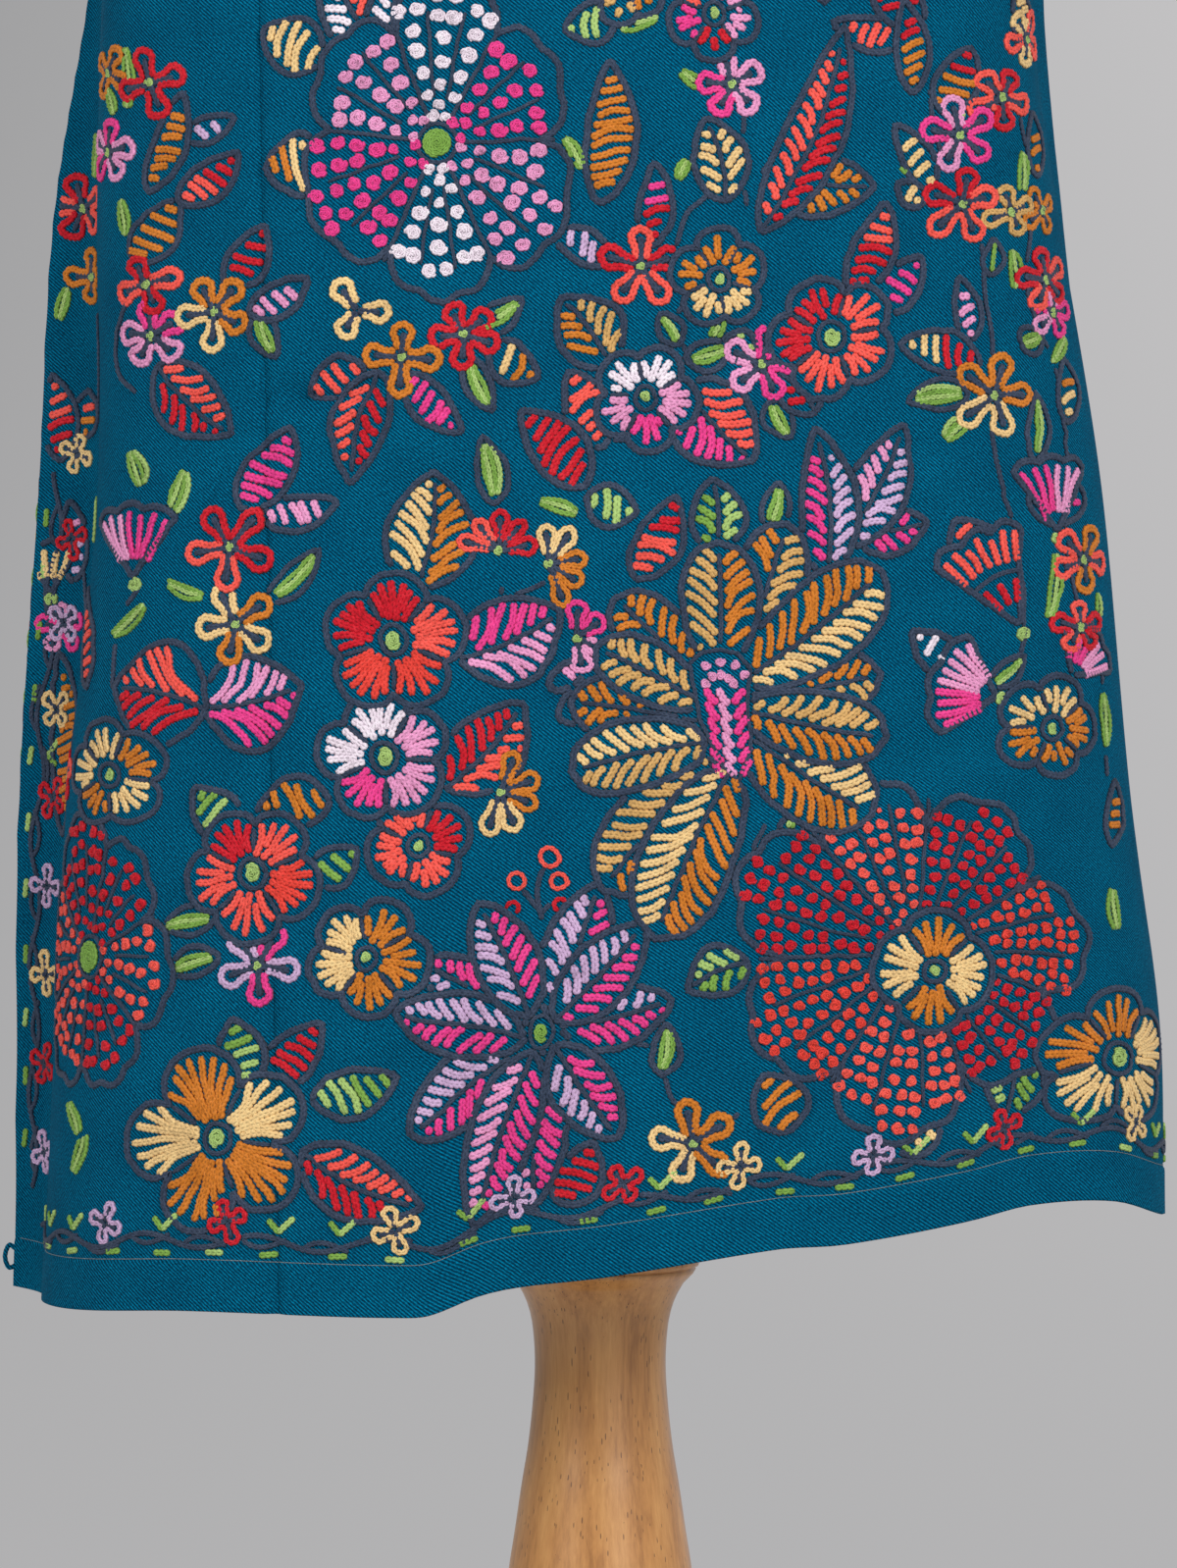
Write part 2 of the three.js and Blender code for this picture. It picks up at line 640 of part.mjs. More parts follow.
const half = SEAM_GAP / 2;
const rows = makeRows();
const gore = panel('front_side_panel', rows, [
  { from: 'frontLeft', to: 'fold', shares: evenly(STRIP_COLUMNS) },
  { from: 'fold', to: 'seam', shares: evenly(GORE_COLUMNS), outset: half },
]);
const front = panel('front_panel', rows, [
  { from: 'seam', to: 'frontNeckLeft', shares: evenly(SEAM_TO_NECK_COLUMNS), inset: half },
  { from: 'frontNeckLeft', to: 'frontNeckRight', shares: roundly(NECK_COLUMNS) },
  { from: 'frontNeckRight', to: 'frontRight', shares: evenly(NECK_TO_SIDE_COLUMNS) },
]);
const back = panel('back_panel', rows, [
  { from: 'backRight', to: 'backNeckRight', shares: evenly(BACK_SIDE_COLUMNS) },
  { from: 'backNeckRight', to: 'backNeckLeft', shares: roundly(NECK_COLUMNS) },
  { from: 'backNeckLeft', to: 'backLeft', shares: evenly(BACK_SIDE_COLUMNS) },
]);

const armholeRows = rows.map((row, j) => j).filter((j) => rows[j].level >= UNDERARM);
const edge = (grid, last) => armholeRows.map((j) => grid[j][last ? grid[j].length - 1 : 0]);

const pheran = new THREE.Group();
pheran.add(
  gore.mesh,
  front.mesh,
  back.mesh,
  sleeve('sleeve_left', -1, edge(gore.outer, false), edge(back.outer, true)),
  sleeve('sleeve_right', 1, edge(front.outer, true), edge(back.outer, false)),
  slitLoop(),
  formTorso(),
  formPost(),
  turned('stand_column', COLUMN_PROFILE, WOOD, TURNED_SIDES),
  standBase()
);

export default pheran;
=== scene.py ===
"""A pheran of embroidered wool on a limbless dress form. Cloth sizes are millimetres, objects are metres."""
import json
import math
from collections import defaultdict

import bpy
import numpy as np
from mathutils import Vector
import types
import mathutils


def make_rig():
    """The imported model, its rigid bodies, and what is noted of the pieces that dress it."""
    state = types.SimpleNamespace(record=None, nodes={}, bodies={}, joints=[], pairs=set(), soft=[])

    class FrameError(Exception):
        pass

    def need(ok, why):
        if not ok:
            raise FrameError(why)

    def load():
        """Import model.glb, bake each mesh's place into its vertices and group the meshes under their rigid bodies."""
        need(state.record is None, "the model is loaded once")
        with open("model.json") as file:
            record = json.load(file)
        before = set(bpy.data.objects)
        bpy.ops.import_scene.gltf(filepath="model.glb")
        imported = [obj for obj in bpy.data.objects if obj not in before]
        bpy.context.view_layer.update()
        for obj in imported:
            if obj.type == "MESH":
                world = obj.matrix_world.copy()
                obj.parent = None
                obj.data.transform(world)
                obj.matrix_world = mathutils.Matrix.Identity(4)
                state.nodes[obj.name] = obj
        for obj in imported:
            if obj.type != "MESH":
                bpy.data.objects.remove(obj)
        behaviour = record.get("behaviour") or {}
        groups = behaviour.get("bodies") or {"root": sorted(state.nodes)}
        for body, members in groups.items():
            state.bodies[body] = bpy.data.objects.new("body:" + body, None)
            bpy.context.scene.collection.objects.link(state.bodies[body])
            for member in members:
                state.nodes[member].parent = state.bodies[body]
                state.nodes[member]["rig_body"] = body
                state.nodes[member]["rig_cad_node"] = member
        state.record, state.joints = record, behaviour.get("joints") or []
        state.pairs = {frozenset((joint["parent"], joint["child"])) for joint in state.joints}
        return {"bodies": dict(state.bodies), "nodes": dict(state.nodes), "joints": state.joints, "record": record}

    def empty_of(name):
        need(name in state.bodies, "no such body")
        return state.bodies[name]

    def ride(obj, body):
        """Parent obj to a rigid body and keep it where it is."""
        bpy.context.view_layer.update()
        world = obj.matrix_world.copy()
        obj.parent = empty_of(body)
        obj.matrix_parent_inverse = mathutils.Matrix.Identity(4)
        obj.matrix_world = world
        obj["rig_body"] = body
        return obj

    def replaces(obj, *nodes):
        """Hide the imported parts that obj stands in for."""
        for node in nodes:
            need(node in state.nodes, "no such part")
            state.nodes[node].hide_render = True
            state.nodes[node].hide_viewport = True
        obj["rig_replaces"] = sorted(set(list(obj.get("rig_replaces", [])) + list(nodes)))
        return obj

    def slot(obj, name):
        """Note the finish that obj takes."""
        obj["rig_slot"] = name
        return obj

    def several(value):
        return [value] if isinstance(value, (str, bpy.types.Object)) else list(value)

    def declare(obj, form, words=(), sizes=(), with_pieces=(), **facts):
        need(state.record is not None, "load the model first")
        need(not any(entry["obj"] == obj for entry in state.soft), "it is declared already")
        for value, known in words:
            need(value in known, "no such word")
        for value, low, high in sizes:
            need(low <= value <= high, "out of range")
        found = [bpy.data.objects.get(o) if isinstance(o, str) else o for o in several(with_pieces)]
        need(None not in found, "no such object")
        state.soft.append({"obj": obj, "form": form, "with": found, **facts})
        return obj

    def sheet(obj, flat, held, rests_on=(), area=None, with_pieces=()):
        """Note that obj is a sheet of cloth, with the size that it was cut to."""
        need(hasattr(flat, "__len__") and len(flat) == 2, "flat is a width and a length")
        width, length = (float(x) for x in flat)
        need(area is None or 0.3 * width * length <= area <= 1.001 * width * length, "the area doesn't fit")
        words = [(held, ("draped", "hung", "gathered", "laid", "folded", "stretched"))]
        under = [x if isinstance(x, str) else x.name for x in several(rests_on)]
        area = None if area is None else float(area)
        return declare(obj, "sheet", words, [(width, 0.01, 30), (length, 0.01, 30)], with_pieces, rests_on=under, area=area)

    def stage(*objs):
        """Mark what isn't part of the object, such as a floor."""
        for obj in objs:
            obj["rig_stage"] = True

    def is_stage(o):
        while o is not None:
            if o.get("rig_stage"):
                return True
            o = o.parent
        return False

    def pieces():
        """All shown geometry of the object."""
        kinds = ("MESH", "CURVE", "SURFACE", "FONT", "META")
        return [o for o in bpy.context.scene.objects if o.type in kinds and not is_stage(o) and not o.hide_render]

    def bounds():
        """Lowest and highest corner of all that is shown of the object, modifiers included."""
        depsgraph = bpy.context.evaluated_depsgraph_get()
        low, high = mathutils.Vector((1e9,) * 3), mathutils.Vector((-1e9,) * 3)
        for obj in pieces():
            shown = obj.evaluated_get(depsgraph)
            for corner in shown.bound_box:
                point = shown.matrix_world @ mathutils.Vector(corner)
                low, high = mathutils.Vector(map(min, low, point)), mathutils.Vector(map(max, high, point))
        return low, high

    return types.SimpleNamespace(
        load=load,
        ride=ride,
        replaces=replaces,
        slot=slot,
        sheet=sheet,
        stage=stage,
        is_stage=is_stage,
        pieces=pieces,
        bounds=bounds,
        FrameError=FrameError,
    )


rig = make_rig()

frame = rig.load()
CAD_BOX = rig.bounds()
MM = 0.001

# The photograph's frame and the camera that took it
PHOTO_WIDTH = 1200
PHOTO_HEIGHT = 1598
MM_PER_PIXEL = 0.535
CAMERA_DISTANCE = 3000
CAMERA_HEIGHT = 693.5
AXIS_PIXEL = 612
SENSOR = 36

# Heights on the garment
HEM = 430
LEVEL_ROWS_FROM = 800
SLIT_TOP = 845
UNDERARM = 1340
CHEST = 1420
SHOULDER_SPAN = 150

# Cloth
WALL = 1.7
HEM_BAND = 25
HEM_STEP = 0.9
SEAM_GAP = 0.3
SLIT_SPREAD = 14
NECK_HALF_WIDTH = 75
NECK_FRONT_DEPTH = 104
NECK_BACK_DEPTH = 66
SHOULDER_TIP = 238

# Shape of the garment in plan
PLAN_POWER = 2.4
PLAN_STEPS = 72
FOLD_SETBACK = 30
TURNED_STRIP = 8
SIDE_SEAM_BEHIND = 50
SEAM_X_AT_HEM = -166
SEAM_X_ABOVE = -179
SEAM_STRAIGHT_FROM = 1121


def table(names, *rows):
    """Named columns from rows of numbers."""
    values = np.array(rows, float)
    return {name: values[:, k] for k, name in enumerate(names.split())}


SECTIONS = table(
    "z left right front back left_strip right_strip",
    (430, 320, 303, 186, 150, 20, 0),
    (540, 319, 301, 184, 148, 24, 0),
    (680, 318, 285, 178, 142, 30, 0),
    (850, 307, 270, 168, 134, 36, 0),
    (1000, 299, 252, 160, 128, 28, 6),
    (1121, 280, 241, 152, 122, 12, 8),
    (1250, 262, 246, 142, 116, 2, 3),
    (1340, 252, 252, 130, 109, 0, 0),
    (1420, 252, 252, 114, 104, 0, 0),
)
FRONT_HEM = table(
    "x z",
    (-320, 420),
    (-292, 417),
    (-215, 421),
    (-105, 420),
    (-88, 421),
    (-62, 431),
    (-40, 436),
    (0, 441),
    (90, 455),
    (125, 457),
    (190, 468),
    (225, 475),
    (270, 475),
    (303, 463),
)
BACK_HEM = table(
    "x z",
    (-320, 424),
    (-150, 430),
    (0, 440),
    (150, 456),
    (240, 470),
    (303, 463),
)
FRONT_FOLDS = table("x width depth top", (-60, 34, 9, 640), (118, 46, 5, 700), (226, 30, 8, 760))
BACK_FOLDS = table(
    "x width depth top",
    (-170, 34, 14, 900),
    (-48, 30, 11, 780),
    (74, 36, 15, 920),
    (196, 30, 10, 820),
)
SHOULDER_LINE = table("x z", (60, 1566), (120, 1549), (170, 1531), (210, 1510), (252, 1482))


def fade(value, start, end):
    """Soft step from 0 at start to 1 at end."""
    t = np.clip((value - start) / (end - start), 0, 1)
    return t * t * (3 - 2 * t)


def smooth_at(rows, key, column, at):
    """Smooth value of one column of a table at places along its key column."""
    keys = rows[key]
    values = rows[column]
    at = np.clip(at, keys[0], keys[-1])
    i = np.clip(np.searchsorted(keys, at) - 1, 0, len(keys) - 2)
    low = np.maximum(np.arange(len(keys)) - 1, 0)
    high = np.minimum(np.arange(len(keys)) + 1, len(keys) - 1)
    slope = (values[high] - values[low]) / (keys[high] - keys[low])
    span = keys[i + 1] - keys[i]
    t = (at - keys[i]) / span
    rise = t * (1 - t) ** 2 * span * slope[i]
    fall = t * t * (1 - t) * span * slope[i + 1]
    return values[i] + (values[i + 1] - values[i]) * t * t * (3 - 2 * t) + rise - fall


def quarter(t, width, depth):
    """Quarter of a rounded plan, from its middle to its side."""
    angle = np.asarray(t) * math.pi / 2
    x = width * np.sin(angle) ** (2 / PLAN_POWER)
    y = depth * np.maximum(np.cos(angle), 0) ** (2 / PLAN_POWER)
    return np.stack([x, y], -1)


def bezier(t, a, b, c, d):
    """Curve from a to d, drawn towards b and c."""
    t = np.asarray(t)[:, None]
    s = 1 - t
    return s**3 * np.array(a) + 3 * s * s * t * np.array(b) + 3 * s * t * t * np.array(c) + t**3 * np.array(d)


def fold_depth(folds, x, level):
    """How far the hanging folds draw the cloth in at one level."""
    depth = 0
    for k in range(len(folds["x"])):
        across = np.exp(-(((x - folds["x"][k]) / folds["width"][k]) ** 2))
        depth = depth + folds["depth"][k] * across * (1 - fade(level, HEM, folds["top"][k]))
    return depth


class Plan:
    """Closed outline of the garment at one level, from the left side edge round the front."""

    def __init__(self, level):
        s = {name: float(smooth_at(SECTIONS, "z", name, level)) for name in SECTIONS}
        left_fold = s["left"] - s["left_strip"]
        right_fold = s["right"] - s["right_strip"]
        rise = s["front"] - FOLD_SETBACK
        third = np.arange(PLAN_STEPS // 3) * 3 / PLAN_STEPS
        up = np.arange(PLAN_STEPS) / PLAN_STEPS
        down = 1 - up
        mirror = np.array([-1, 1])
        strip = bezier(
            third,
            (-s["left"], 0),
            (-s["left"] + 0.55 * s["left_strip"], -3),
            (-left_fold, -16),
            (-left_fold, -FOLD_SETBACK),
        )
        front_left = quarter(down, left_fold, rise) * -1 - (0, FOLD_SETBACK)
        front_right = quarter(up, right_fold, rise) * (1, -1) - (0, FOLD_SETBACK)
        for part in (front_left, front_right):
            part[:, 1] += fold_depth(FRONT_FOLDS, part[:, 0], level)
        side = bezier(
            third,
            (right_fold, -FOLD_SETBACK),
            (right_fold, -18),
            (s["right"], -12),
            (s["right"], 0),
        )
        back_right = quarter(down, s["right"], s["back"])
        back_left = quarter(np.append(up, 1), s["left"], s["back"]) * mirror
        for part in (back_right, back_left):
            share = part[:, 1] / s["back"]
            part[:, 1] -= fold_depth(BACK_FOLDS, part[:, 0], level) * share
        self.points = np.concatenate([strip, front_left, front_right, side, back_right, back_left])
        steps = np.linalg.norm(np.diff(self.points, axis=0), axis=1)
        self.arcs = np.concatenate([[0], np.cumsum(steps)])
        self.section = s
        self.fold = len(strip)
        self.front_middle = self.fold + PLAN_STEPS
        self.widest = self.front_middle + PLAN_STEPS + len(side)
        self.back_middle = self.widest + PLAN_STEPS
        self.last = len(self.points) - 1

    def at(self, arcs):
        x = np.interp(arcs, self.arcs, self.points[:, 0])
        y = np.interp(arcs, self.arcs, self.points[:, 1])
        return x, y

    def arc_where(self, start, end, x):
        """Arc length where the outline first passes x between two of its points."""
        gap = self.points[start : end + 1, 0] - x
        change = np.nonzero(gap[:-1] * gap[1:] <= 0)[0]
        if len(change) == 0:
            return self.arcs[end]
        k = change[0]
        share = gap[k] / (gap[k] - gap[k + 1])
        return self.arcs[start + k] * (1 - share) + self.arcs[start + k + 1] * share


def row_of(height):
    """Level, cut of the armhole and share of the turn over the shoulder for a height on the cloth."""
    tip_cut = SECTIONS["right"][-1] - SHOULDER_TIP
    if height <= UNDERARM:
        return height, 0, 0
    if height <= CHEST:
        angle = math.acos((CHEST - height) / (CHEST - UNDERARM))
        return height, tip_cut * math.sin(angle) ** 2, 0
    return CHEST, tip_cut, (height - CHEST) / SHOULDER_SPAN


class Side:
    """Outer surface of the front or the back, by distance from the middle and height on the cloth."""

    STEP_ACROSS = 3
    STEP_UP = 5

    def __init__(self, front):
        self.front = front
        self.heights = np.arange(HEM, CHEST + SHOULDER_SPAN + 1, self.STEP_UP, dtype=float)
        reach = 420
        self.across = np.arange(-reach, reach + 1, self.STEP_ACROSS, dtype=float)
        self.points = np.stack([self.row_points(v) for v in self.heights])
        du = np.gradient(self.points, self.STEP_ACROSS, axis=1)
        dv = np.gradient(self.points, self.STEP_UP, axis=0)
        normals = np.cross(du, dv)
        normals /= np.maximum(np.linalg.norm(normals, axis=2, keepdims=True), 1e-9)
        self.normals = normals
        edges = [self.edge_values(v) for v in self.heights]
        self.edges = {name: np.array([e[name] for e in edges]) for name in edges[0]}

    def row_points(self, height):
        """Points across the garment at one height on the cloth."""
        level, _, turn = row_of(height)
        plan = Plan(level)
        middle = plan.arcs[plan.front_middle if self.front else plan.back_middle]
        arcs = np.clip(self.across + middle, 0, plan.arcs[-1])
        x, y = plan.at(arcs)
        if turn == 0:
            hem = smooth_at(FRONT_HEM if self.front else BACK_HEM, "x", "z", x)
            z = level + (hem - HEM) * (1 - fade(level, HEM, LEVEL_ROWS_FROM))
            return np.stack([x, y, z], -1)
        ridge = smooth_at(SHOULDER_LINE, "x", "z", np.abs(x))
        neck = NECK_FRONT_DEPTH if self.front else NECK_BACK_DEPTH
        inside = np.minimum(np.abs(x) / NECK_HALF_WIDTH, 1)
        edge = neck * np.sqrt(1 - inside**2)
        full = np.arccos(np.clip(edge / np.maximum(np.abs(y), 1e-6), 0, 1))
        angle = full * turn
        half = SEAM_GAP / 2
        depth = half + (np.abs(y) - half) * np.cos(angle)
        z = CHEST + (ridge - CHEST) * np.sin(angle)
        return np.stack([x, -depth if self.front else depth, z], -1)

    def edge_values(self, height):
        """Distances from the middle of the panel's edges and of its seam."""
        level, cut, _ = row_of(height)
        plan = Plan(level)
        middle = plan.arcs[plan.front_middle if self.front else plan.back_middle]
        left = cut - plan.section["left"]
        right = plan.section["right"] - cut
        seam_share = min(max((level - HEM) / (SEAM_STRAIGHT_FROM - HEM), 0), 1)
        seam_x = SEAM_X_AT_HEM + (SEAM_X_ABOVE - SEAM_X_AT_HEM) * seam_share
        neck = NECK_HALF_WIDTH * plan.section["left"] / SECTIONS["left"][-1]
        spread = SLIT_SPREAD * (1 - fade(level, HEM, SLIT_TOP))
        behind = SIDE_SEAM_BEHIND * max(UNDERARM - level, 0) / (UNDERARM - HEM)
        facing = min(plan.section["left_strip"] / TURNED_STRIP, 1)
        side = plan.arcs[plan.widest] + behind
        half = SEAM_GAP / 2
        if self.front:
            first, centre, last = plan.fold, plan.front_middle, plan.widest
            seam = plan.arc_where(first, centre, seam_x)
            found = {"seam": seam, "seam_left": seam - half, "seam_right": seam + half}
            found["fold"] = plan.arcs[first]
            side_edges = (half, side - half)
            armholes = (plan.arc_where(0, centre, left), plan.arc_where(centre, last, right))
            neck = -neck
        else:
            first, centre, last = plan.widest, plan.back_middle, plan.last
            found = {}
            side_edges = (side + half + spread, plan.arcs[-1] - half - 3 * facing - spread)
            armholes = (plan.arc_where(first, centre, right), plan.arc_where(centre, last, left))
        found["start"], found["end"] = armholes if cut > 0 else side_edges
        found["neck_start"] = plan.arc_where(first, centre, neck)
        found["neck_end"] = plan.arc_where(centre, last, -neck)
        return {name: value - middle for name, value in found.items()}

    def edge(self, name, height):
        return np.interp(height, self.heights, self.edges[name])

    def sample(self, across, height):
        """Smooth points and outward directions at places on the cloth."""
        fx = np.clip((across - self.across[0]) / self.STEP_ACROSS, 0, len(self.across) - 1.001)
        fy = np.clip((height - self.heights[0]) / self.STEP_UP, 0, len(self.heights) - 1.001)
        i = fx.astype(int)
        j = fy.astype(int)
        s = (fx - i)[..., None]
        t = (fy - j)[..., None]
        result = []
        for grid in (self.points, self.normals):
            low = grid[j, i] * (1 - s) + grid[j, i + 1] * s
            high = grid[j + 1, i] * (1 - s) + grid[j + 1, i + 1] * s
            result.append(low * (1 - t) + high * t)
        below = np.minimum(np.asarray(height) - HEM, 0)[..., None]
        points = result[0] + below * np.array([0, 0, 1])
        normals = result[1] / np.linalg.norm(result[1], axis=-1, keepdims=True)
        return points, normals

    def surface(self, across, height):
        """Points on the cloth with its creases, hem and seams, and outward directions."""
        points, normals = self.sample(across, height)
        return points + normals * self.relief(across, height)[..., None], normals

    def relief(self, across, height):
        """How far the cloth's hem, seam, creases and ripples stand out from the smooth surface."""
        across = np.asarray(across, float)
        height = np.asarray(height, float)
        above_hem = height - HEM
        step = HEM_STEP * (1 - fade(above_hem, HEM_BAND - 0.6, HEM_BAND + 0.9))
        stitch_pull = -0.35 * np.exp(-(((above_hem - HEM_BAND - 0.4) / 1.4) ** 2))
        rows = FRONT_CREASES if self.front else BACK_CREASES
        soft = fade(above_hem, 20, 120) * (1 - fade(height, 1300, 1400))
        wave = 1.5 * ripple(across, height, 11 if self.front else 12) * soft
        rough = 0.35 * ripple(across * 2.7, height * 2.3, 21) * soft
        total = step + stitch_pull + creases(rows, across, height) + wave + rough
        if self.front:
            apart = across - self.edge("seam", height)
            total = total - 1.0 * np.exp(-((apart / 2.2) ** 2)) + 0.25 * np.exp(-(((apart + 8) / 4) ** 2))
        return total


# Creases of the front: two ends of each, its half width and depth.
FRONT_CREASES = table(
    "x1 z1 x2 z2 width depth",
    (-192, 894, -104, 902, 5, 4.0),
    (-122, 846, -60, 853, 5, 2.4),
    (-184, 912, -136, 888, 4, 2.0),
    (-190, 874, -142, 862, 6, 2.0),
    (60, 1010, 150, 1022, 9, 1.6),
    (-40, 760, 40, 772, 12, 1.3),
    (-250, 640, -200, 628, 8, 1.6),
    (150, 700, 235, 716, 10, 1.8),
    (-120, 560, -30, 552, 12, 1.4),
    (-196, 800, -150, 812, 7, 1.6),
    (120, 880, 200, 868, 9, 1.5),
)
BACK_CREASES = table(
    "x1 z1 x2 z2 width depth",
    (-150, 905, -60, 893, 7, 1.5),
    (30, 860, 120, 872, 6, 1.3),
    (-110, 1010, 10, 1002, 9, 1.1),
    (60, 700, 170, 690, 10, 1.0),
    (-200, 640, -120, 652, 9, 0.9),
)


def creases(rows, x, z):
    """Troughs along short bowed lines, each with a soft ridge beside it."""
    depth = np.zeros(np.broadcast(x, z).shape)
    for k in range(len(rows["x1"])):
        start = np.array([rows["x1"][k], rows["z1"][k]])
        run = np.array([rows["x2"][k], rows["z2"][k]]) - start
        length = np.hypot(*run)
        along = ((x - start[0]) * run[0] + (z - start[1]) * run[1]) / length**2
        away = ((x - start[0]) * run[1] - (z - start[1]) * run[0]) / length
        bow = 0.06 * length * np.sin(math.pi * np.clip(along, 0, 1))
        ends = fade(along, -0.1, 0.3) * (1 - fade(along, 0.7, 1.1))
        trough = np.exp(-(((away - bow) / rows["width"][k]) ** 2))
        ridge = 0.5 * np.exp(-(((away - bow - 2.1 * rows["width"][k]) / rows["width"][k]) ** 2))
        depth = depth + rows["depth"][k] * ends * (ridge - trough)
    return depth


def ripple(x, z, seed):
    """Gentle unevenness of hanging wool."""
    rng = np.random.default_rng(seed)
    total = np.zeros(np.broadcast(x, z).shape)
    for _ in range(9):
        length = rng.uniform(70, 190)
        turn = rng.uniform(-0.5, 0.5)
        phase = rng.uniform(0, 2 * math.pi)
        wave = 2 * math.pi / length
        total = total + np.sin(wave * (x * math.cos(turn) + z * 0.55 * math.sin(turn)) + phase)
    return total / 9


# Meshes

def make_object(name, points, faces, scale=MM):
    mesh = bpy.data.meshes.new(name)
    mesh.from_pydata((np.asarray(points) * scale).tolist(), [], [list(f) for f in faces])
    mesh.validate()
    mesh.update()
    piece = bpy.data.objects.new(name, mesh)
    bpy.context.collection.objects.link(piece)
    mesh.polygons.foreach_set("use_smooth", np.ones(len(mesh.polygons), bool))
    return piece


def paint_map(piece, name, values):
    """A map of two numbers for each vertex, in metres, that the materials read."""
    layer = piece.data.uv_layers.new(name=name)
    corners = np.empty(len(piece.data.loops), np.int32)
    piece.data.loops.foreach_get("vertex_index", corners)
    layer.data.foreach_set("uv", np.asarray(values, np.float32)[corners].ravel())


def shell_faces(rows, columns, closed_round=False):
    """Faces of a wall: an outer grid, an inner grid and a rounded rim row round each open edge."""
    size = rows * columns
    outer = np.arange(size).reshape(rows, columns)
    inner = outer + size
    if closed_round:
        outer = np.concatenate([outer, outer[:, :1]], 1)
        inner = np.concatenate([inner, inner[:, :1]], 1)
        loops = [(outer[0], inner[0]), (outer[-1][::-1], inner[-1][::-1])]
    else:
        edge_out = np.concatenate([outer[0], outer[1:, -1], outer[-1, -2::-1], outer[-2::-1, 0]])
        loops = [(edge_out, edge_out + size)]
    faces = [
        np.stack([outer[:-1, :-1], outer[:-1, 1:], outer[1:, 1:], outer[1:, :-1]], -1).reshape(-1, 4),
        np.stack([inner[:-1, :-1], inner[1:, :-1], inner[1:, 1:], inner[:-1, 1:]], -1).reshape(-1, 4),
    ]
    rims = []
    count = 2 * size
    for out_loop, in_loop in loops:
        middle = count + np.arange(len(out_loop) - 1)
        count += len(middle)
        ring = np.append(middle, middle[0])
        faces.append(np.stack([out_loop[:-1], ring[:-1], ring[1:], out_loop[1:]], -1))
        faces.append(np.stack([ring[:-1], in_loop[:-1], in_loop[1:], ring[1:]], -1))
        rims.append((out_loop[:-1], in_loop[:-1]))
    return np.concatenate(faces), rims


def shell(name, outer, inner, cloth_map, closed_round=False):
    """Thin cloth wall with rounded edges from two grids of points, rows by columns."""
    rows, columns = outer.shape[:2]
    faces, rims = shell_faces(rows, columns, closed_round)
    out_points = outer.reshape(-1, 3)
    in_points = inner.reshape(-1, 3)
    size = len(out_points)
    points = [out_points, in_points]
    maps = [cloth_map.reshape(-1, 2)] * 2
    row_of_point, column_of_point = np.divmod(np.arange(size), columns)
    for out_loop, in_loop in rims:
        row = row_of_point[out_loop]
        column = column_of_point[out_loop]
        next_row = np.where(row == 0, 1, np.where(row == rows - 1, rows - 2, row))
        next_column = column
        if not closed_round:
            next_column = np.where(column == 0, 1, np.where(column == columns - 1, columns - 2, column))
        inside = outer[next_row, next_column]
        away = out_points[out_loop] - inside
        away /= np.maximum(np.linalg.norm(away, axis=1, keepdims=True), 1e-9)
        middle = (out_points[out_loop] + in_points[in_loop - size]) / 2
        half = np.linalg.norm(out_points[out_loop] - in_points[in_loop - size], axis=1) / 2
        points.append(middle + away * (0.3 * half)[:, None])
        maps.append(cloth_map.reshape(-1, 2)[out_loop])
    piece = make_object(name, np.concatenate(points), faces)
    paint_map(piece, "cloth", np.concatenate(maps) * MM)
    return piece


HEM_ROWS = (430, 430.8, 433, 438, 444, 449, 452.6, 454.4, 455.2, 456.2, 458.5, 463)
EVEN_ROWS_FROM = 468


def panel_heights(step):
    """Heights of a panel's rows: close together at the hem's edge and its stitched step."""
    count = round((CHEST + SHOULDER_SPAN - EVEN_ROWS_FROM) / step)
    return np.concatenate([HEM_ROWS, np.linspace(EVEN_ROWS_FROM, CHEST + SHOULDER_SPAN, count + 1)])


def panel(name, side, bands, step):
    """One panel: bands of columns between named edges, each with its count and whether it rounds."""
    heights = panel_heights(step)
    columns = []
    for k, (start, end, count, rounded) in enumerate(bands):
        share = np.linspace(0, 1, count + 1)[: None if k == len(bands) - 1 else -1]
        if rounded:
            share = (1 - np.cos(math.pi * share)) / 2
        low = side.edge(start, heights)[:, None]
        high = side.edge(end, heights)[:, None]
        columns.append(low + (high - low) * share)
    across = np.concatenate(columns, 1)
    rows = np.broadcast_to(heights[:, None], across.shape)
    outer, normals = side.surface(across, rows)
    ridge = (rows >= CHEST + SHOULDER_SPAN - 0.01) & (np.abs(outer[..., 0]) > NECK_HALF_WIDTH - 2)
    normals[ridge, 1] = 0
    normals /= np.linalg.norm(normals, axis=-1, keepdims=True)
    wall = WALL + HEM_STEP * (1 - fade(rows - HEM, HEM_BAND - 0.6, HEM_BAND + 0.9))
    inner = outer - normals * wall[..., None]
    return shell(name, outer, inner, np.stack([across, rows], -1))


# Sleeves

SLEEVE_STEP = 30
SLEEVE_OFFSET = 0.4
END_TURN = math.radians(5)
SLEEVE_RINGS = table(
    "slope half depth",
    (10, 82, 56),
    (27, 83, 55),
    (43, 84, 53),
    (53, 85, 51),
    (60, 86, 49),
    (64, 87, 47),
    (66, 88, 46),
    (67, 89, 45),
)


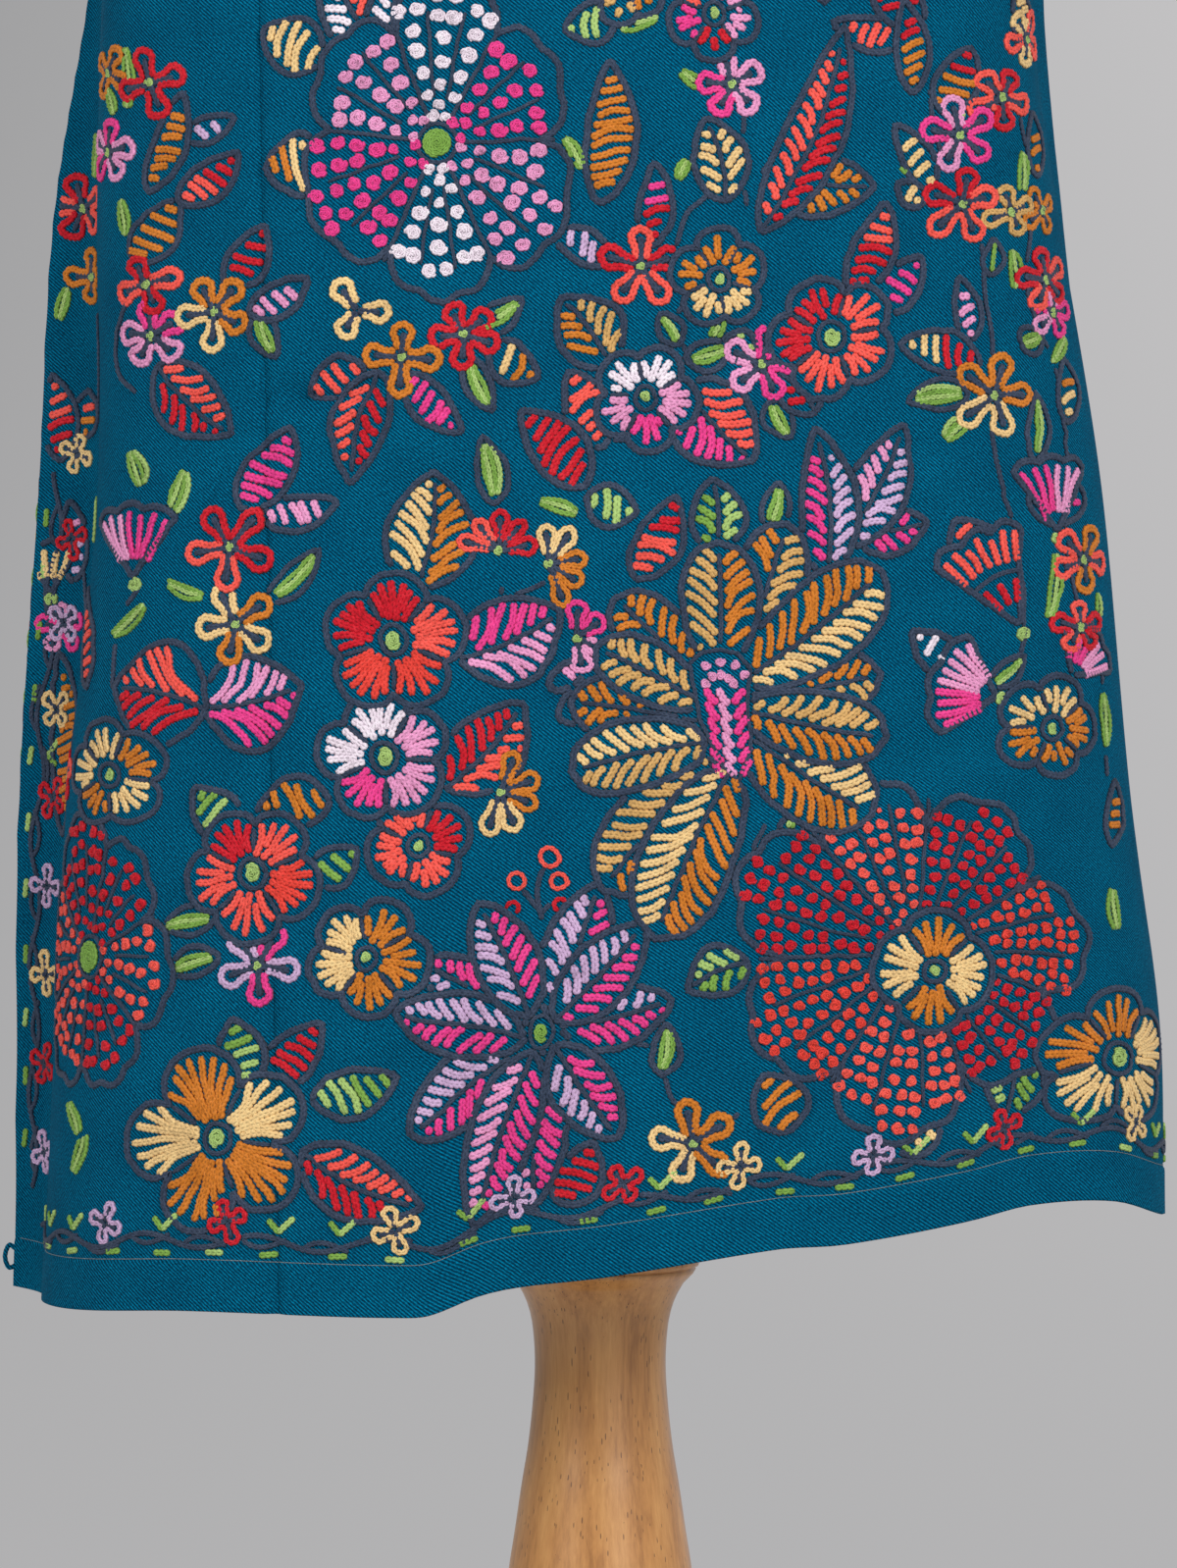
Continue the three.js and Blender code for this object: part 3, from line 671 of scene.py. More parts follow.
def sleeve(name, direction, front, back):
    """Tapering sleeve from its armhole, in rings round a path that bends downwards."""
    heights = np.linspace(UNDERARM, CHEST + SHOULDER_SPAN, 46)
    front_edge = "start" if direction < 0 else "end"
    back_edge = "end" if direction < 0 else "start"
    front_points, _ = front.sample(front.edge(front_edge, heights), heights)
    back_points, _ = back.sample(back.edge(back_edge, heights), heights)
    hole = np.concatenate([front_points, back_points[::-1]])
    in_front = np.arange(len(hole)) < len(front_points)
    bottom = front_points[0]
    top = front_points[-1]
    nearest = hole[:, 1].min()
    furthest = hole[:, 1].max()
    centre = np.array([bottom[0], (nearest + furthest) / 2, (bottom[2] + top[2]) / 2])
    half = (top[2] - bottom[2]) / 2
    turns = np.arccos(np.clip((hole[:, 2] - centre[2]) / half, -1, 1))
    hand = np.where(in_front, -1, 1)
    apart = hand * (END_TURN + turns * (1 - 2 * END_TURN / math.pi))
    turns = hand * turns
    sideways = np.array([0, 1, 0])
    halves = [half]
    depths = [(furthest - nearest) / 2]
    rings = [hole + (direction * SLEEVE_OFFSET, 0, 0)]
    ups = [np.array([0, 0, 1.0])]
    walk = centre.copy()
    for k, (slope, tall, deep) in enumerate(zip(*(SLEEVE_RINGS[n] for n in ("slope", "half", "depth")))):
        lean = math.radians(slope)
        along = np.array([direction * math.cos(lean), 0, -math.sin(lean)])
        up = np.array([direction * math.sin(lean), 0, math.cos(lean)])
        walk = walk + along * SLEEVE_STEP
        keep = max(1 - (k + 1) / 3, 0)
        ring = walk + up * (tall * np.cos(apart))[:, None] + sideways * (deep * np.sin(apart))[:, None]
        rings.append(ring + along * (keep * direction * (hole[:, 0] - centre[0]))[:, None])
        ups.append(up)
        halves.append(tall)
        depths.append(deep)
    fine = 5
    places = np.linspace(0, len(rings) - 1, (len(rings) - 1) * fine + 1)
    rings = np.array(rings)
    outer = np.array([blend_rows(rings, p) for p in places])
    halves = np.interp(places, range(len(halves)), halves)
    depths = np.interp(places, range(len(depths)), depths)
    ups = np.array([blend_rows(np.array(ups), p) for p in places])
    ups /= np.linalg.norm(ups, axis=1, keepdims=True)
    around = np.cumsum(np.linalg.norm(np.diff(outer, axis=1, prepend=outer[:, :1]), axis=2), axis=1)
    down = places * SLEEVE_STEP
    turn = np.where(places[:, None] > 0.5, apart, turns)
    normals = ups[:, None] * (np.cos(turn) / halves[:, None])[..., None]
    normals = normals + sideways * (np.sin(turn) / depths[:, None])[..., None]
    normals /= np.linalg.norm(normals, axis=-1, keepdims=True)
    soft = fade(down, 10, 60)[:, None]
    bend = np.exp(-(((down - 78) / 13) ** 2)) - 0.6 * np.exp(-(((down - 112) / 16) ** 2))
    below = fade(-np.cos(turn), -0.2, 0.9)
    push = 2.2 * ripple(around, down[:, None] * 0.6, 31) * soft - 2.4 * bend[:, None] * below
    outer = outer + normals * push[..., None]
    inner = outer - normals * WALL
    cloth_map = np.stack([around, np.broadcast_to(-down[:, None], around.shape)], -1)
    if direction > 0:
        outer = outer[:, ::-1]
        inner = inner[:, ::-1]
        cloth_map = cloth_map[:, ::-1]
    return shell(name, outer, inner, cloth_map, closed_round=True)


def blend_rows(rows, place):
    """Smooth value between the rows of a list at a place that needn't be whole."""
    i = min(int(place), len(rows) - 2)
    t = place - i
    before = rows[max(i - 1, 0)]
    after = rows[min(i + 2, len(rows) - 1)]
    first = (rows[i + 1] - before) / (2 if i > 0 else 1)
    second = (after - rows[i]) / (2 if i < len(rows) - 2 else 1)
    line = rows[i] + (rows[i + 1] - rows[i]) * t * t * (3 - 2 * t)
    return line + first * t * (1 - t) ** 2 - second * t * t * (1 - t)


# Stand

COLUMN_PROFILE = table(
    "z r",
    (26.3, 58),
    (36, 58),
    (42, 54),
    (50, 47),
    (66, 41),
    (90, 40),
    (120, 44),
    (160, 51),
    (205, 54.5),
    (240, 53),
    (268, 49.6),
    (287, 46.6),
    (311, 43.1),
    (335, 39.2),
    (360, 36.6),
    (380, 35.7),
    (400, 37.2),
    (412, 40.3),
    (422, 45.6),
    (427, 50.6),
    (429.5, 52.2),
    (430.1, 51.5),
    (430.9, 51.7),
    (431.4, 53.6),
    (433, 54),
    (435, 54),
    (438.5, 52),
    (440, 48),
)
FOOT_TOP = 36
SHAFT_LOW = 42
SHAFT_TOP = 427
LATHE_SIDES = 112


def tube_faces(rings, sides):
    """Numbers of the points in each ring, of their neighbours, and the faces that join the rings."""
    index = np.arange(rings * sides).reshape(rings, sides)
    following = np.roll(index, -1, axis=1)
    faces = np.stack([index[:-1], following[:-1], following[1:], index[1:]], -1)
    return index, following, faces.reshape(-1, 4).tolist()


def lathe(name, heights, radii):
    """Round solid about the middle axis, closed at both ends."""
    turn = np.arange(LATHE_SIDES) * 2 * math.pi / LATHE_SIDES
    rings = [np.stack([r * np.cos(turn), r * np.sin(turn), z + 0 * turn], -1) for z, r in zip(heights, radii)]
    points = np.concatenate(rings + [[(0, 0, heights[0])], [(0, 0, heights[-1])]])
    index, following, faces = tube_faces(len(heights), LATHE_SIDES)
    low = len(points) - 2
    faces += [(low, b, a) for a, b in zip(index[0], following[0])]
    faces += [(low + 1, a, b) for a, b in zip(index[-1], following[-1])]
    return make_object(name, points, faces)


def column():
    """Turned column: smooth along its shaft, straight between the edges of its foot and lip."""
    heights = np.unique(np.concatenate([np.arange(FOOT_TOP, SHAFT_TOP, 5.0), COLUMN_PROFILE["z"]]))
    radii = np.where(
        (heights > SHAFT_LOW) & (heights < SHAFT_TOP),
        smooth_at(COLUMN_PROFILE, "z", "r", heights),
        np.interp(heights, COLUMN_PROFILE["z"], COLUMN_PROFILE["r"]),
    )
    return lathe("turned_column", heights, radii)


LOOP_CORD = 1.3
LOOP_BEHIND = 1.3
LOOP_SIDES = 16
LOOP_TURNS = 3.5
LOOP_PLACES = table("out z", (-1.2, 440), (2.6, 442), (4.8, 436), (2.8, 430), (-1.2, 431))


def cord_loop():
    """Small twisted cord that stands out from the edge of the slit."""
    edge = -SECTIONS["left"][0]
    places = np.stack([edge - LOOP_PLACES["out"], np.full(5, LOOP_BEHIND), LOOP_PLACES["z"]], -1)
    path = np.array([blend_rows(places, p) for p in np.linspace(0, len(places) - 1, 61)])
    run = np.gradient(path, axis=0)
    run /= np.linalg.norm(run, axis=1, keepdims=True)
    side = np.array([0.0, 1.0, 0.0])
    up = np.cross(run, side)
    turn = np.linspace(0, 2 * math.pi, LOOP_SIDES, endpoint=False)
    twist = turn + np.linspace(0, 2 * math.pi * LOOP_TURNS, len(path))[:, None]
    radius = LOOP_CORD * (0.9 + 0.14 * np.abs(np.sin(1.5 * twist)))
    ring = side * (radius * np.cos(turn))[..., None] + up[:, None] * (radius * np.sin(turn))[..., None]
    points = (path[:, None] + ring).reshape(-1, 3)
    index, _, faces = tube_faces(len(path), LOOP_SIDES)
    faces += [index[0].tolist(), index[-1][::-1].tolist()]
    piece = make_object("slit_cord", points, faces)
    paint_map(piece, "cloth", points[:, [2, 0]] * MM)
    return piece


# Materials

def srgb(red, green, blue):
    """A colour given as it looks on screen, as the linear numbers that a shader takes."""
    channels = np.array([red, green, blue]) / 255
    linear = np.where(channels <= 0.04045, channels / 12.92, ((channels + 0.055) / 1.055) ** 2.4)
    return (*linear.tolist(), 1)


class Nodes:
    """Short way to add nodes to a tree and join them."""

    def __init__(self, owner):
        owner.use_nodes = True
        self.tree = owner.node_tree

    def node(self, kind, inputs=None, **settings):
        """New node with its inputs set or joined."""
        made = self.tree.nodes.new("ShaderNode" + kind)
        for key, value in settings.items():
            setattr(made, key, value)
        for key, value in (inputs or {}).items():
            self.put(made.inputs[key], value)
        return made

    def put(self, socket, value):
        """Joins a socket to another, or gives it a value."""
        if isinstance(value, bpy.types.NodeSocket):
            self.tree.links.new(value, socket)
        else:
            socket.default_value = value

    def math(self, operation, *values):
        return self.node("Math", dict(enumerate(values)), operation=operation).outputs[0]

    def noise(self, vector, scale, detail=2, roughness=0.5):
        inputs = {"Vector": vector, "Scale": scale, "Detail": detail, "Roughness": roughness}
        return self.node("TexNoise", inputs).outputs["Fac"]

    def ramp(self, value, *stops):
        """Colours by places from 0 to 1."""
        made = self.node("ValToRGB", {"Fac": value})
        elements = made.color_ramp.elements
        while len(elements) < len(stops):
            elements.new(0.5)
        for element, (place, colour) in zip(elements, stops):
            element.position = place
            element.color = colour
        return made.outputs["Color"]

    def mix(self, share, first, second, blend="MIX"):
        made = self.node("Mix", data_type="RGBA", blend_type=blend)
        self.put(made.inputs[0], share)
        self.put(made.inputs[6], first)
        self.put(made.inputs[7], second)
        return made.outputs[2]

    def stretch(self, vector, scale, turn=0):
        inputs = {"Vector": vector, "Scale": scale, "Rotation": (0, 0, turn)}
        return self.node("Mapping", inputs).outputs[0]

    def bump(self, height, distance, strength=1.0):
        inputs = {"Height": height, "Distance": distance, "Strength": strength}
        return self.node("Bump", inputs).outputs[0]


class Shader(Nodes):
    """Nodes of one material."""

    def __init__(self, name):
        self.material = bpy.data.materials.new(name)
        super().__init__(self.material)

    def finish(self, **inputs):
        """Gives the surface its inputs by their names in small letters."""
        surface = self.tree.nodes["Principled BSDF"]
        for key, value in inputs.items():
            self.put(surface.inputs[key.replace("_", " ").title().replace("Ior", "IOR")], value)
        return self.material


TWILL_PITCH = 0.00155
TWILL_TURN = math.radians(40)


def wool():
    """Teal twill with a soft nap: fine ribs that run down to the right, with painted highlight on the ribs and painted
    shade between them.
    """
    s = Shader("teal_wool_twill")
    cloth = s.node("UVMap", uv_map="cloth").outputs[0]
    ribs_space = s.stretch(cloth, (1, 1, 1), TWILL_TURN)
    parts = s.node("SeparateXYZ", {0: ribs_space}).outputs
    wander = s.math("MULTIPLY", s.noise(cloth, 260, 2), 0.9)
    phase = s.math("ADD", s.math("MULTIPLY", parts[1], 2 * math.pi / TWILL_PITCH), wander)
    rib = s.math("MULTIPLY_ADD", s.math("SINE", phase), 0.5, 0.5)
    yarn = s.noise(s.stretch(ribs_space, (0.35, 1, 1)), 1500, 2)
    fleck = s.noise(cloth, 900, 3, 0.7)
    patch = s.noise(cloth, 26, 4, 0.6)
    height = s.math("MULTIPLY_ADD", yarn, 0.7, s.math("MULTIPLY", rib, 0.55))
    fine = s.math("MULTIPLY_ADD", yarn, 0.42, s.math("MULTIPLY", fleck, 0.36))
    # Painted highlight and shade: the rib term lightens the raised twill ribs and darkens the valleys between them,
    # besides the bump.
    tone = s.math("MULTIPLY_ADD", rib, 0.25, fine)
    base = s.ramp(
        tone,
        (0.34, srgb(0, 34, 54)),
        (0.52, srgb(0, 72, 101)),
        (0.7, srgb(0, 126, 166)),
    )
    shade = s.ramp(patch, (0.3, (0.8, 0.82, 0.84, 1)), (0.7, (1.08, 1.06, 1.04, 1)))
    colour = s.mix(1.0, base, shade, "MULTIPLY")
    return s.finish(
        base_color=colour,
        roughness=0.92,
        specular_ior_level=0.04,
        sheen_weight=0.02,
        sheen_roughness=0.5,
        sheen_tint=srgb(90, 190, 215),
        normal=s.bump(height, 0.0005, 0.9),
    )


def wood():
    """Light brown wood under satin varnish, with upright grain and short dark pores."""
    s = Shader("varnished_turned_wood")
    place = s.node("TexCoord").outputs["Object"]
    long_grain = s.stretch(place, (1, 1, 0.07))
    broad = s.noise(long_grain, 55, 5, 0.6)
    fine = s.noise(long_grain, 420, 3, 0.7)
    grain = s.math("MULTIPLY_ADD", fine, 0.35, s.math("MULTIPLY", broad, 0.65))
    base = s.ramp(
        grain,
        (0.34, srgb(150, 98, 50)),
        (0.5, srgb(192, 134, 74)),
        (0.66, srgb(212, 156, 92)),
    )
    dots = s.node("TexVoronoi", {"Vector": s.stretch(place, (1, 1, 0.13)), "Scale": 520.0, "Randomness": 1.0})
    pore = s.math("LESS_THAN", dots.outputs["Distance"], 0.17)
    patch = s.math("GREATER_THAN", s.noise(place, 60, 2), 0.46)
    dark = s.math("MULTIPLY", pore, patch)
    colour = s.mix(s.math("MULTIPLY", dark, 0.72), base, srgb(70, 42, 22))
    rough = s.math("MULTIPLY_ADD", broad, 0.14, 0.3)
    return s.finish(
        base_color=colour,
        roughness=rough,
        coat_weight=0.35,
        coat_roughness=0.28,
        normal=s.bump(s.math("SUBTRACT", s.math("MULTIPLY", fine, 0.3), dark), 0.0002, 0.5),
    )


def cover():
    """Natural cotton cover of the form in plain weave."""
    s = Shader("natural_cotton_cover")
    place = s.node("TexCoord").outputs["Object"]
    threads = {"Vector": place, "Scale": 420.0, "Distortion": 0.6}
    warp, weft = (s.node("TexWave", threads, bands_direction=way).outputs["Fac"] for way in "XZ")
    weave = s.math("MULTIPLY", warp, weft)
    slub = s.noise(s.stretch(place, (1, 1, 0.2)), 300, 3, 0.6)
    tone = s.math("MULTIPLY_ADD", slub, 0.6, s.math("MULTIPLY", weave, 0.4))
    base = s.ramp(tone, (0.25, srgb(196, 188, 170)), (0.7, srgb(222, 214, 198)))
    return s.finish(
        base_color=base,
        roughness=0.9,
        specular_ior_level=0.25,
        normal=s.bump(s.math("ADD", weave, slub), 0.0003, 0.6),
    )


def steel():
    """Brushed steel tube with fine rings from the lathe."""
    s = Shader("brushed_steel")
    place = s.node("TexCoord").outputs["Object"]
    lines = s.noise(s.stretch(place, (0.02, 0.02, 1)), 2600, 3, 0.7)
    smudge = s.noise(place, 30, 3)
    rough = s.math("MULTIPLY_ADD", lines, 0.18, s.math("MULTIPLY_ADD", smudge, 0.14, 0.16))
    base = s.ramp(lines, (0.3, srgb(176, 178, 180)), (0.7, srgb(206, 207, 209)))
    return s.finish(base_color=base, metallic=1.0, roughness=rough, normal=s.bump(lines, 0.00008, 0.5))


def floor_finish():
    """Pale matt floor with faint patches."""
    s = Shader("pale_floor")
    place = s.node("TexCoord").outputs["Object"]
    patch = s.noise(place, 6, 4, 0.6)
    base = s.ramp(patch, (0.3, srgb(196, 196, 194)), (0.7, srgb(206, 206, 204)))
    return s.finish(base_color=base, roughness=s.math("MULTIPLY_ADD", patch, 0.1, 0.6))


# Stage

def area_light(name, place, target, size, power):
    """Soft white light that faces its target."""
    data = bpy.data.lights.new(name, "AREA")
    data.shape = "RECTANGLE"
    data.size, data.size_y = size
    data.energy = power
    lamp = bpy.data.objects.new(name, data)
    lamp.location = place
    lamp.rotation_euler = (Vector(target) - Vector(place)).to_track_quat("-Z", "Y").to_euler()
    bpy.context.collection.objects.link(lamp)
    return lamp


def camera():
    """Level camera that frames the garment as the photograph does."""
    data = bpy.data.cameras.new("camera")
    data.sensor_width = SENSOR
    visible = PHOTO_HEIGHT * MM_PER_PIXEL
    data.lens = SENSOR * CAMERA_DISTANCE / visible
    data.clip_start = 0.1
    data.clip_end = 20
    eye = bpy.data.objects.new("camera", data)
    across = (PHOTO_WIDTH / 2 - AXIS_PIXEL) * MM_PER_PIXEL * MM
    eye.location = (across, -CAMERA_DISTANCE * MM, CAMERA_HEIGHT * MM)
    eye.rotation_euler = (math.pi / 2, 0, 0)
    bpy.context.collection.objects.link(eye)
    bpy.context.scene.camera = eye


def backdrop():
    """Studio grey all round, a little darker to the left of the view."""
    world = bpy.data.worlds.new("studio")
    bpy.context.scene.world = world
    s = Nodes(world)
    direction = s.node("SeparateXYZ", {0: s.node("TexCoord").outputs["Generated"]}).outputs
    slope = s.math("MULTIPLY_ADD", direction[2], 12, 2)
    spread = s.math("MULTIPLY_ADD", direction[0], slope, 0.5)
    shade = s.tree.nodes["Background"]
    s.put(shade.inputs["Color"], s.ramp(spread, (0, srgb(156, 156, 157)), (1, srgb(198, 197, 198))))
    shade.inputs["Strength"].default_value = 1.0


def stage():
    """Floor, soft key light from the right, fill from the left and a rim light from behind."""
    bpy.ops.mesh.primitive_circle_add(vertices=128, radius=1.6, fill_type="NGON", location=(0, 0, -0.0005))
    floor = bpy.context.object
    floor.name = "floor"
    floor.data.materials.append(floor_finish())
    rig.stage(floor)
    area_light("key", (1.5, -2.7, 2.1), (0, 0, 0.75), (1.5, 1.5), 62)
    area_light("fill", (-1.9, -2.0, 1.8), (0, 0, 0.9), (1.4, 1.4), 34)
    area_light("rim", (-0.6, 2.4, 2.6), (0, 0, 0.9), (1.6, 1.2), 30)


def dress(piece, look, slot, *nodes):
    """Gives a piece its finish and puts it in the place of solids of the frame."""
    piece.data.materials.clear()
    piece.data.materials.append(look)
    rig.replaces(piece, *nodes)
    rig.ride(piece, "root")
    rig.slot(piece, slot)
    return piece


# Embroidery: chain stitch in wool yarn. Motif sizes are millimetres on the cloth.

STITCH = 2.9
VIEW_TOP = 1140
YARN_WIDTH = 5.0
YARN_HEIGHT = 1.35
OUTLINE_WIDTH = 4.4
FILL_PITCH = 7.0
RIB_PITCH = 5.7
RIB_SLANT = math.radians(48)
RIM_CLEAR = 3.3
EDGE_CLEAR = 3.5
FOLD_PIXEL = 120
KNOT_SWELL = 1.2
TWO_TIERS_FROM = 45
FLOWER_GROW = 1.06
LEAF_GROW = 1.14
HEART_MIDDLE = (953, 990)

YARNS = {
    "slate": srgb(48, 61, 83),
    "red": srgb(196, 8, 32),
    "coral": srgb(240, 84, 72),
    "vermilion": srgb(222, 60, 48),
    "hot_pink": srgb(226, 56, 134),
    "pale_pink": srgb(222, 146, 188),
    "lilac": srgb(196, 164, 200),
    "white": srgb(232, 216, 228),
    "ochre": srgb(200, 116, 30),
    "cream": srgb(230, 192, 132),
    "tan": srgb(204, 160, 96),
    "green": srgb(118, 160, 66),
    "pale_green": srgb(160, 190, 108),
}


def turned(points, angle):
    """Points turned about the origin."""
    c = math.cos(angle)
    s = math.sin(angle)
    return np.asarray(points) @ np.array([[c, s], [-s, c]])


def resampled(points, step):
    """The same line as points about one step apart."""
    points = np.asarray(points, float)
    lengths = np.linalg.norm(np.diff(points, axis=0), axis=1)
    along = np.concatenate([[0], np.cumsum(lengths)])
    count = max(int(round(along[-1] / step)), 2)
    places = np.linspace(0, along[-1], count + 1)
    return np.stack([np.interp(places, along, points[:, 0]), np.interp(places, along, points[:, 1])], -1)


def curve(points, count=10):
    """Smooth line through a few points."""
    points = np.asarray(points, float)
    if len(points) == 2:
        return points
    places = np.linspace(0, len(points) - 1, (len(points) - 1) * count + 1)
    return np.array([blend_rows(points, p) for p in places])


def inside(polygon, x, y):
    """Which places lie inside a closed polygon."""
    hit = np.zeros(x.shape, bool)
    following = np.roll(polygon, -1, axis=0)
    for (x1, y1), (x2, y2) in zip(polygon, following):
        crosses = (y1 > y) != (y2 > y)
        if not crosses.any():
            continue
        edge = (x2 - x1) * (y - y1) / ((y2 - y1) or 1e-9) + x1
        hit ^= crosses & (x < edge)
    return hit


class Canvas:
    """One side of the garment as an embroiderer sees it: earlier motifs lie over later ones."""

    REACH = 430
    ROWS = 1180
    EDGE_ON = -0.08
    VIEW_ROWS_TO = 1200
    LEAST_SLOPE = 0.5
    EDGE_SLOPE = 1.25
    SHORTEST_LINE = 2.2

    def __init__(self, side):
        self.side = side
        self.taken = np.zeros((self.ROWS, 2 * self.REACH), bool)
        self.lines = defaultdict(list)
        if side.front:
            self.make_view_map()

    def make_view_map(self):
        """Where the camera sees each place of the front."""
        facing = self.side.normals[..., 1] < self.EDGE_ON
        points = self.side.points
        a, v = np.meshgrid(self.side.across, self.side.heights)
        keep = facing & (v < self.VIEW_ROWS_TO)
        keep &= (a > self.side.edges["start"][:, None]) & (a < self.side.edges["end"][:, None])
        self.view_cloth = np.stack([a[keep], v[keep]], -1)
        self.view_pixels = self.pixel_of(points[keep])

    @staticmethod
    def pixel_of(points):
        """Where the photograph's camera sees points of the cloth."""
        scale = CAMERA_DISTANCE / (MM_PER_PIXEL * (CAMERA_DISTANCE + points[..., 1]))
        offset = (AXIS_PIXEL - PHOTO_WIDTH / 2) * MM_PER_PIXEL
        x = PHOTO_WIDTH / 2 + (points[..., 0] + offset) * scale
        y = PHOTO_HEIGHT / 2 - (points[..., 2] - CAMERA_HEIGHT) * scale
        return np.stack([x, y], -1)

    def seen_at(self, pixel):
        """Place on the cloth that the camera sees at a pixel, and cloth sizes for view sizes there."""
        pixel = np.asarray(pixel, float)
        nearest = np.argmin(((self.view_pixels - pixel) ** 2).sum(1))
        place = self.view_cloth[nearest].copy()
        step = 2.0
        for _ in range(3):
            corners = place + np.array([(0, 0), (step, 0), (0, step)])
            seen = self.pixel_of(self.side.sample(corners[:, 0], corners[:, 1])[0])
            slope = np.stack([seen[1] - seen[0], seen[2] - seen[0]], 1) / step
            slope[0, 0] = max(slope[0, 0], self.LEAST_SLOPE)
            place = place + np.linalg.solve(slope, pixel - seen[0])
        slope[0, 0] = max(slope[0, 0], self.EDGE_SLOPE)
        grow = np.linalg.inv(slope) @ np.diag([1, -1]) / MM_PER_PIXEL
        return place, grow

    def claim(self, polygon, margin=2.0):
        """Keeps later stitches off a shape and a narrow margin round it."""
        polygon = np.asarray(polygon)
        middle = polygon.mean(0)
        away = polygon - middle
        size = np.maximum(np.linalg.norm(away, axis=1, keepdims=True), 1e-6)
        polygon = polygon + away / size * margin
        low = np.floor(polygon.min(0)).astype(int)
        high = np.ceil(polygon.max(0)).astype(int)
        a, v = np.meshgrid(np.arange(low[0], high[0] + 1), np.arange(low[1], high[1] + 1))
        hit = inside(polygon, a, v)
        column = np.clip(a + self.REACH, 0, 2 * self.REACH - 1)
        row = np.clip(v - HEM, 0, len(self.taken) - 1)
        self.taken[row[hit], column[hit]] = True

    def stroke(self, yarn, points, width=YARN_WIDTH, height=YARN_HEIGHT, clip=True, rings=3):
        """One line of stitches, with a few rings to each stitch: fewer on outlines and out of view."""
        points = np.asarray(points, float)
        if yarn == "slate":
            rings = 2
        if not self.side.front or points[:, 1].min() > VIEW_TOP:
            rings = 1
        step = STITCH / rings
        points = resampled(points, step)
        a = points[:, 0]
        v = points[:, 1]
        open_cloth = v > HEM + HEM_BAND + 1
        open_cloth &= a > self.side.edge("start", v) + EDGE_CLEAR
        open_cloth &= a < self.side.edge("end", v) - EDGE_CLEAR
        if clip:
            column = np.clip((a + self.REACH).astype(int), 0, 2 * self.REACH - 1)
            row = np.clip((v - HEM).astype(int), 0, len(self.taken) - 1)
            open_cloth &= ~self.taken[row, column]
        edges = np.flatnonzero(np.diff(np.concatenate([[0], open_cloth.astype(int), [0]])))
        for start, end in zip(edges[::2], edges[1::2]):
            if (end - start) * step > self.SHORTEST_LINE:
                self.lines[yarn].append((points[start:end], width, height, rings))


class Motif:
    """Local drawing frame of one motif: its own millimetres, placed on the cloth and fitted to it."""

    SWAY = 0.36

    def __init__(self, canvas, place, grow=None, seed=0, dye=None):
        self.canvas = canvas
        self.place = np.asarray(place, float)
        self.grow = np.eye(2) if grow is None else grow
        self.rng = np.random.default_rng(seed)
        self.claims = []
        self.dye = dye or {}

    def on_cloth(self, points):
        """Places on the cloth of points of the motif."""
        return self.place + np.asarray(points) @ self.grow.T

    def line(self, yarn, points, width=YARN_WIDTH, height=YARN_HEIGHT):
        """One line of stitches that sways a little, as stitches by hand do."""
        points = resampled(points, STITCH / 3)
        count = len(points)
        if count > 3:
            sway = self.rng.normal(0, self.SWAY, (max(count // 5, 2), 2))
            places = np.linspace(0, len(sway) - 1, count)
            shift = [np.interp(places, range(len(sway)), sway[:, k]) for k in range(2)]
            points = points + np.stack(shift, -1)
        width = width * self.rng.uniform(0.93, 1.07)
        self.canvas.stroke(self.dye.get(yarn, yarn), self.on_cloth(points), width, height)

    def outline(self, points, yarn="slate", width=OUTLINE_WIDTH):
        """Closed line round a shape, whose cloth the motif then claims."""
        points = np.asarray(points)
        self.line(yarn, np.concatenate([points, points[:1]]), width, YARN_HEIGHT * 1.02)
        self.claims.append(self.on_cloth(points))

    def disc(self, yarn, centre, across, tall=None, width=3.1):
        """Filled round patch worked as a spiral from its middle."""
        tall = across if tall is None else tall
        rim_x = max(across - width * 0.42, 0.8)
        rim_y = max(tall - width * 0.42, 0.8)
        turns = max(min(rim_x, rim_y) / (width * 0.72), 1.0) + 0.45
        t = np.linspace(0.05, 1, int(16 * turns))
        theta = 2 * math.pi * turns * t + self.rng.uniform(0, 6)
        radius = np.minimum(t * 1.12, 1)
        points = np.stack([rim_x * radius * np.cos(theta), rim_y * radius * np.sin(theta)], -1)
        shape = self.on_cloth(points + np.asarray(centre))
        self.canvas.stroke(self.dye.get(yarn, yarn), shape, width, YARN_HEIGHT * 1.12)

    def done(self):
        """Keeps later motifs off this one's shapes."""
        for polygon in self.claims:
            self.canvas.claim(polygon)


def aimed(base, tip):
    """Length from base to tip, and a way to lay points drawn up the y axis along that line."""
    base = np.asarray(base, float)
    run = np.asarray(tip, float) - base
    angle = math.atan2(run[1], run[0]) - math.pi / 2
    return np.hypot(*run), lambda points: turned(points, angle) + base


def bent(start, end, bow):
    """A line from start to end that bows to one side by a share of its length."""
    start = np.asarray(start, float)
    run = np.asarray(end, float) - start
    return curve([start, start + run / 2 + bow * np.array([-run[1], run[0]]), start + run], 3)


def half_blade(t, width, blunt):
    """Half width of a leaf or petal at a share of its length: blunt ones are widest near the tip."""
    t = np.clip(t, 0, 1)
    pointed = np.sin(math.pi * t**0.82) ** 0.85
    oblong = 1.2 * t**0.35 * (1 - t**5) ** 0.6
    return width / 2 * (pointed * (1 - blunt) + oblong * blunt)


def blade(length, width, blunt=0.0, bow=0.0, count=18):
    """Outline of a leaf or petal from its base at the origin to its tip up the y axis."""
    t = np.linspace(0, 1, count)
    half = half_blade(t, width, blunt)
    bend = bow * length * np.sin(math.pi * t)
    right = np.stack([half + bend, t * length], -1)
    left = np.stack([-half + bend, t * length], -1)[::-1]
    return np.concatenate([right, left[1:-1]])


